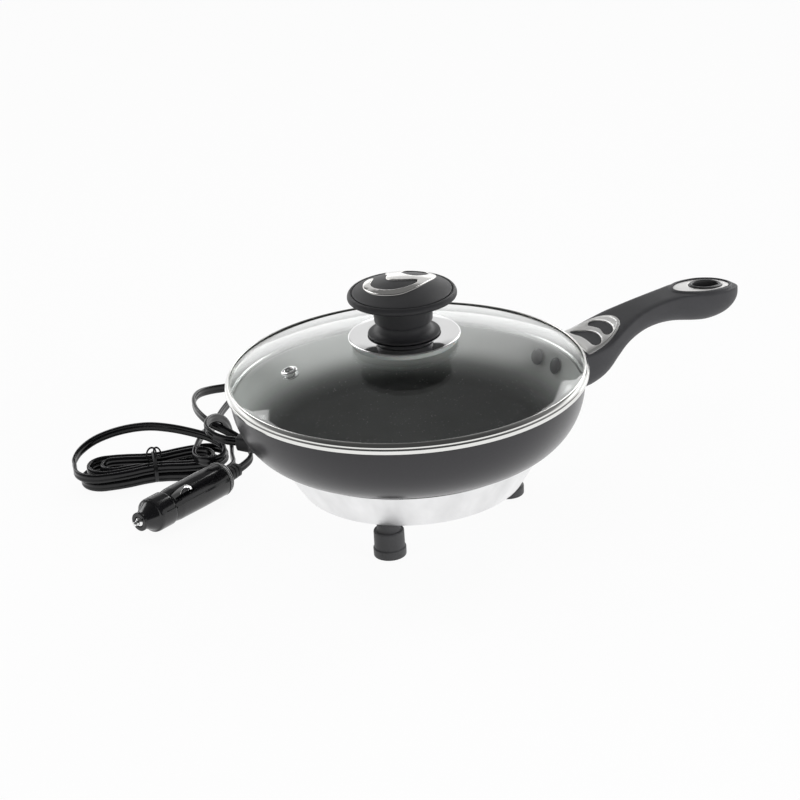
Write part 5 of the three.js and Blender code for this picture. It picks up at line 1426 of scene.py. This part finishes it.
# Roll about the plug's axis and body of each side contact, the lower one first
SIDE_CONTACTS = [(35, "lower_side_contact"), (215, "upper_side_contact")]
SIDE_TRAVEL = 1.4
# The bowed leaf of a side contact: its start along the plug, its length, width, bow and thickness
LEAF_START = 27.9
LEAF_LENGTH = 15.2
LEAF_WIDTH = 3.7
LEAF_BOW = 3.5
LEAF_CROWN = 0.35
LEAF_THICKNESS = 0.55
LEAF_CELLS = (36, 12)
# The sleeve's ribs: distance along one rib and how much smaller the sleeve is there
SLEEVE_RIB = [(0.1, 0), (2.0, 0), (2.3, 0.7), (2.8, 0.7)]
SLEEVE_RIBS = 4
SLEEVE_HALF_WIDTH = 4.7
SLEEVE_TAPER = 1.0
SLEEVE_POWER = 0.8


def cutting_block(size, place, roll, rounding=0):
    """A block with its edges along X rounded, set beside the Z axis and turned about it."""
    block = bmesh.new()
    bmesh.ops.create_cube(block, size=1)
    bmesh.ops.scale(block, vec=size, verts=block.verts[:])
    if rounding:
        edges = [edge for edge in block.edges if abs(edge.verts[0].co.x - edge.verts[1].co.x) > 1]
        bmesh.ops.bevel(
            block, geom=edges, offset=rounding, offset_type="OFFSET", affect="EDGES", segments=3, profile=0.5,
            material=-1,
        )
    bmesh.ops.translate(block, vec=place, verts=block.verts[:])
    turn = Matrix.Rotation(math.radians(roll), 3, "Z")
    bmesh.ops.rotate(block, cent=(0, 0, 0), matrix=turn, verts=block.verts[:])
    return block


class SKILLET_OT_plug(bpy.types.Operator):
    """Turn the lighter plug with its tip, side contacts and ribbed sleeve"""

    bl_idname = "skillet.plug"
    bl_label = "Lighter plug"

    def execute(self, context):
        plug = Millimetres(context.scene.skillet_plug)
        place = (
            Matrix.Translation((*PLUG_TIP, plug.height)) @ Matrix.Rotation(math.radians(PLUG_ANGLE), 4, "Z")
            @ Matrix.Rotation(math.pi / 2, 4, "Y")
        )
        gloss = gloss_finish("Plug gloss", (0.007, 0.007, 0.008), 0.12)
        chrome = metal_finish(*CHROME)
        radius = plug.radius
        rear = plug.rear
        body = spun([
            (4.2, 14.3), (7.6, 14.3), (7.6, 26.2), (9.4, 26.2, 0.2), (9.6, 28, 0.2),
            (radius - 0.2, 32, 0.6), (radius, 50, 1), (radius, 70.4, 0.2), (9.7, 70.7), (9.7, 73.3),
            (radius - 0.4, 73.4, 0.2), (radius - 0.9, 74.6, 0.5), (7.2, rear, 0.4), (0, rear), (0, 50),
            (4.2, 50),
        ])
        for roll, _ in SIDE_CONTACTS:
            body = cut(body, cutting_block((6, 5.6, 16), (radius + 0.9, 0, 35.5), roll, rounding=1.2))
        finish_piece("plug_barrel", body, [gloss], "skillet", ["plug_body"], place=place)

        nose = spun([
            (3.3, 4.2, 0.1), (5.6, 4.2, 0.3), (5.7, 5.6, 0.3), (4.9, 6.2, 0.3), (5.3, 7.4, 0.5),
            (8.9, 13.2, 0.4), (10, 13.6, 0.4), (10.3, 15.2, 0.4), (10.3, 25.2, 0.4), (9.9, 25.9, 0.2),
            (7.9, 25.9), (7.9, 14), (4.2, 14), (4.2, 9), (3.3, 9),
        ])
        for roll in (8, 128, 248):
            nose = cut(nose, cutting_block((2.2, 1.3, 9), (10.3, 0, 22.5), roll))
        finish_piece("plug_collar", nose, [gloss], "skillet", ["plug_nose"], place=place)

        # The band's grey paints the highlight line along the plug body's rear edge; the plug is black there
        band = spun([
            (9.9, 71, 0.1), (radius + 0.1, 71, 0.2), (radius, 72.2, 0.3), (radius - 0.3, 73, 0.2),
            (9.9, 73, 0.1),
        ])
        edge_highlight_grey = soft_finish("Band plastic", (0.2, 0.2, 0.2), 0.3)
        finish_piece("plug_ring", band, [edge_highlight_grey], "skillet", ["plug_band"], place=place)

        tip = spun([
            (0, 0), (0.9, 0.1, 0.3), (1.25, 0.7, 0.2), (1.25, 1.5, 0.1), (0.95, 1.75, 0.1),
            (0.95, 2.2, 0.1), (1.5, 2.5, 0.15), (1.5, 3.4, 0.2), (2.2, 3.8, 0.3), (2.9, 4.6, 0.3),
            (3, 9.3), (3.8, 9.3), (3.8, 11), (0, 11),
        ], steps=SMALL_SPIN_STEPS)
        finish_piece("plug_pin", tip, [chrome], "contact_tip", ["plug_tip"], place=place)

        def coil_ring(step):
            """One outline of the spring's wire."""
            around = 2 * math.pi * SPRING_TURNS * step / SPRING_STEPS
            out = Vector((math.cos(around), math.sin(around), 0))
            run = SPRING_LENGTH - SPRING_WIRE * 2
            height = SPRING_START + SPRING_WIRE + run * step / SPRING_STEPS
            centre = out * SPRING_RADIUS + Vector((0, 0, height))
            up = Vector((0, 0, 1))
            return lambda angle: centre + (out * math.cos(angle) + up * math.sin(angle)) * SPRING_WIRE

        coil = lofted([coil_ring(step) for step in range(SPRING_STEPS + 1)], WIRE_SIDES)
        wire = metal_finish("Spring steel", (0.56, 0.57, 0.58), 0.3)
        spring = finish_piece("coil_spring", coil, [wire], "skillet", ["plug_spring"], place=place)
        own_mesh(spring)

        sleeve_start = rear + SEAT_GAP
        rings = []

        def sleeve_ring(distance, half_width, half_height):
            def point(angle):
                across = half_width * rounded_power(math.cos(angle), SLEEVE_POWER)
                return Vector((half_height * rounded_power(math.sin(angle), SLEEVE_POWER), across, distance))
            return point

        for rib in range(SLEEVE_RIBS):
            wide = SLEEVE_HALF_WIDTH - SLEEVE_TAPER * rib / SLEEVE_RIBS
            at = sleeve_start + SLEEVE_LENGTH * rib / SLEEVE_RIBS
            rings += [sleeve_ring(at + offset, wide - shrink, wide - shrink) for offset, shrink in SLEEVE_RIB]
        rings.append(sleeve_ring(sleeve_start + SLEEVE_LENGTH, 3.1, 3.3))
        moulded = soft_finish(*BOOT_PLASTIC, grain=1200)
        sleeve, nodes = lofted(rings, MOULDED_SIDES), ["plug_sleeve"]
        finish_piece("ribbed_sleeve", sleeve, [moulded], "skillet", nodes, place=place)

        seat = radius - 0.6 - SIDE_TRAVEL
        for number, (roll, rider) in enumerate(reversed(SIDE_CONTACTS), 1):
            bm = bmesh.new()
            bmesh.ops.create_grid(bm, x_segments=LEAF_CELLS[0], y_segments=LEAF_CELLS[1], size=0.5)
            for vert in bm.verts:
                share = vert.co.x + 0.5
                across = vert.co.y
                bow = 0.2 + math.sin(math.pi * share) ** 0.7 * LEAF_BOW
                crown = LEAF_CROWN * (1 - (2 * across) ** 2)
                width = LEAF_WIDTH * (0.7 + 0.3 * math.sin(math.pi * share))
                distance = LEAF_START + LEAF_LENGTH * share
                vert.co = Vector((seat + 0.25 + bow + crown, across * width, distance))
            bmesh.ops.recalc_face_normals(bm, faces=bm.faces[:])
            bmesh.ops.solidify(bm, geom=bm.faces[:], thickness=LEAF_THICKNESS)
            bmesh.ops.recalc_face_normals(bm, faces=bm.faces[:])
            turn = place @ Matrix.Rotation(math.radians(roll), 4, "Z")
            node = f"plug_side_contact_{number}"
            finish_piece(f"spring_leaf_{number}", bm, [chrome], rider, [node], place=turn, sharp=40)
        return {"FINISHED"}


INNER_FINISHES = {
    "steel": [
        "base_cover", "foot_screw_1", "foot_screw_2", "foot_screw_3", "heating_element", "clamp_plate",
        "centre_stud", "clamp_nut", "cover_nut", "handle_bracket", "handle_screw", "knob_screw",
    ],
    "brass": ["element_terminal_1", "element_terminal_2", "plug_fuse"],
    "fibre": ["insulation_pad"],
    "ceramic": ["thermal_cutout", "terminal_block"],
    "silicone": ["knob_washer"],
    "flex": ["supply_wire_1", "supply_wire_2"],
}


class SKILLET_OT_inside(bpy.types.Operator):
    """Give the pieces inside the base, the handle, the lid and the plug their finishes"""

    bl_idname = "skillet.inside"
    bl_label = "Inner pieces"

    def execute(self, context):
        colours = context.scene.skillet_colours
        finishes = {
            "steel": metal_finish("Zinc plated steel", (0.56, 0.57, 0.58), 0.3, marks=1400.0),
            "brass": metal_finish("Brass", (0.62, 0.44, 0.16), 0.26),
            "fibre": soft_finish("Mineral fibre", (0.68, 0.66, 0.6), 0.9, grain=800, relief=0.0003),
            "ceramic": soft_finish("Ceramic", (0.8, 0.77, 0.7), 0.55, grain=1800),
            "silicone": silicone_finish(*SILICONE),
            "flex": gloss_finish("Black flex", tuple(colours.flex), 0.17, specular=0.4),
        }
        for kind, names in INNER_FINISHES.items():
            for name in names:
                holder = frame["nodes"][name]
                for item in [holder, *holder.children_recursive]:
                    if item.type == "MESH":
                        for slot in item.material_slots:
                            slot.material = finishes[kind]
        return {"FINISHED"}


FLOOR_CELLS = 8
FLOOR_REACH = 6
# The way the camera looks, level, and the way to its right
AHEAD = Vector((0.5, 0.866, 0))
SIDEWAYS = Vector((0.866, -0.5, 0))
# What the lamps point at, and for each one its name, its place, its size in metres and its watts
LAMP_AIM = Vector((-0.06, 0.02, 0.07))
SOFT_BOXES = [
    ("Top soft box", (0.04, 0.19, 1.71), 1.5, 6.5),
    ("Front right soft box", (0.62, -1.45, 0.34), 0.9, 21),
    ("Front left soft box", (-1.44, -0.1, 0.87), 0.7, 6),
]
# Windows that the glass mirrors: a corner and a point along each edge, in degrees round and up
WINDOWS = [((87, 37.6), (88.8, 32.5), (91.4, 42.4)), ((35.2, 29.9), (34.8, 24.5), (29.3, 40.6))]
WINDOW_LEVEL = 3.7
WINDOW_FADE = (0.9, 0.93)
WINDOW_EDGE_FADE = (0, 0.012)
PANEL_LEVEL = 0.8
# How far the bright horizon climbs with the view ahead
HORIZON_CLIMB = 0.12


class SKILLET_OT_stage(bpy.types.Operator):
    """Lay the pale floor and hang the soft studio lights"""

    bl_idname = "skillet.stage"
    bl_label = "Stage"

    def execute(self, context):
        bm = bmesh.new()
        bmesh.ops.create_grid(bm, x_segments=FLOOR_CELLS, y_segments=FLOOR_CELLS, size=FLOOR_REACH)
        mesh = bpy.data.meshes.new("floor")
        bm.to_mesh(mesh)
        bm.free()
        mesh.materials.append(floor_finish("Pale floor", (0.86, 0.86, 0.87)))
        floor = linked("floor", mesh)
        self.world(context)
        for name, stand, size, power in SOFT_BOXES:
            data = bpy.data.lights.new(name, "AREA")
            data.shape = "SQUARE"
            data.size = size
            data.energy = power
            lamp = linked(name, data)
            facing = (LAMP_AIM - Vector(stand)).to_track_quat("-Z", "Y").to_matrix().to_4x4()
            lamp.matrix_world = Matrix.Translation(stand) @ facing
            lamp.visible_glossy = False
            lamp.visible_transmission = False
            lamp.visible_camera = False
        context.scene.view_settings.view_transform = "Standard"
        return {"FINISHED"}

    def window(self, tree, along, *points):
        """Light of one window: bright between its two edges and faded out away from its corner."""
        corner, first, second = (
            level_way(turn) * math.cos(math.radians(height)) + Vector((0, 0, math.sin(math.radians(height))))
            for turn, height in points
        )
        shares = [spread_node(tree, along(corner), *WINDOW_FADE)]
        for edge, inside in ((first, second), (second, first)):
            normal = corner.cross(edge).normalized()
            normal = normal if normal.dot(inside) > 0 else -normal
            shares.append(spread_node(tree, along(normal), *WINDOW_EDGE_FADE))
        return math_node(tree, "MULTIPLY", *shares, WINDOW_LEVEL)

    def world(self, context):
        """White to the camera; mirrors see a horizon, a panel behind, a dim ceiling and the windows."""
        world = bpy.data.worlds.new("Studio")
        context.scene.world = world
        world.use_nodes = True
        tree = world.node_tree
        tree.nodes.clear()
        tree.nodes.new("ShaderNodeOutputWorld")
        view = add_node(tree, "ShaderNodeTexCoord").outputs["Generated"]
        upward = add_node(tree, "ShaderNodeSeparateXYZ", {0: view}).outputs[2]

        def along(direction):
            inputs = {0: view, 1: direction}
            return add_node(tree, "ShaderNodeVectorMath", inputs, operation="DOT_PRODUCT").outputs["Value"]

        ahead = along(AHEAD)
        climb = math_node(tree, "SUBTRACT", upward, math_node(tree, "MULTIPLY", ahead, HORIZON_CLIMB))
        horizon = spread_node(tree, climb, 0, 0.26, 1, 0)
        horizon = math_node(tree, "MULTIPLY", horizon, spread_node(tree, ahead, 0.2, 0.6, 1, 1.6))
        panel = math_node(
            tree, "MULTIPLY", spread_node(tree, upward, 0.44, 0.64, 1, 0),
            spread_node(tree, math_node(tree, "ABSOLUTE", along(SIDEWAYS)), 0.2, 0.34, 1, 0),
            spread_node(tree, ahead, 0, 0.2), PANEL_LEVEL,
        )
        ceiling = spread_node(tree, ahead, -0.6, 0.3, 0.06, 0.2)
        windows = [self.window(tree, along, *points) for points in WINDOWS]
        level = math_node(tree, "MAXIMUM", horizon, panel, ceiling, *windows)
        lit = add_node(tree, "ShaderNodeBackground", {"Color": WHITE, "Strength": level})
        seen = add_node(tree, "ShaderNodeBackground", {"Color": WHITE, "Strength": 1})
        rays = add_node(tree, "ShaderNodeLightPath").outputs
        mixed_surface(tree, rays["Is Camera Ray"], lit, seen)


class SKILLET_PT_panel(bpy.types.Panel):
    """Sizes, colours and steps of the skillet"""

    bl_idname = "SKILLET_PT_panel"
    bl_label = "Travel Skillet"
    bl_space_type = "VIEW_3D"
    bl_region_type = "UI"
    bl_category = "Skillet"

    def draw(self, context):
        for attribute in SHEETS:
            sheet = getattr(context.scene, attribute)
            column = self.layout.column(align=True)
            column.label(text=attribute.replace("skillet_", "").capitalize())
            for name in sheet.__annotations__:
                column.prop(sheet, name)
        for operator in OPERATORS:
            self.layout.operator(operator.bl_idname)


OPERATORS = [
    SKILLET_OT_camera, SKILLET_OT_plug, SKILLET_OT_cord, SKILLET_OT_pan, SKILLET_OT_base, SKILLET_OT_handle,
    SKILLET_OT_lid, SKILLET_OT_knob, SKILLET_OT_inside, SKILLET_OT_stage,
]
CLASSES = [*SHEETS.values(), *OPERATORS, SKILLET_PT_panel]


def register():
    for item in CLASSES:
        bpy.utils.register_class(item)
    for attribute, sheet in SHEETS.items():
        setattr(bpy.types.Scene, attribute, PointerProperty(type=sheet))


def unregister():
    for attribute in SHEETS:
        delattr(bpy.types.Scene, attribute)
    for item in reversed(CLASSES):
        bpy.utils.unregister_class(item)


def main():
    register()
    bpy.ops.skillet.camera()
    bpy.ops.skillet.plug()
    bpy.ops.skillet.cord()
    bpy.ops.skillet.pan()
    bpy.ops.skillet.base()
    bpy.ops.skillet.handle()
    bpy.ops.skillet.lid()
    bpy.ops.skillet.knob()
    bpy.ops.skillet.inside()
    bpy.ops.skillet.stage()


if __name__ == "__main__":
    main()
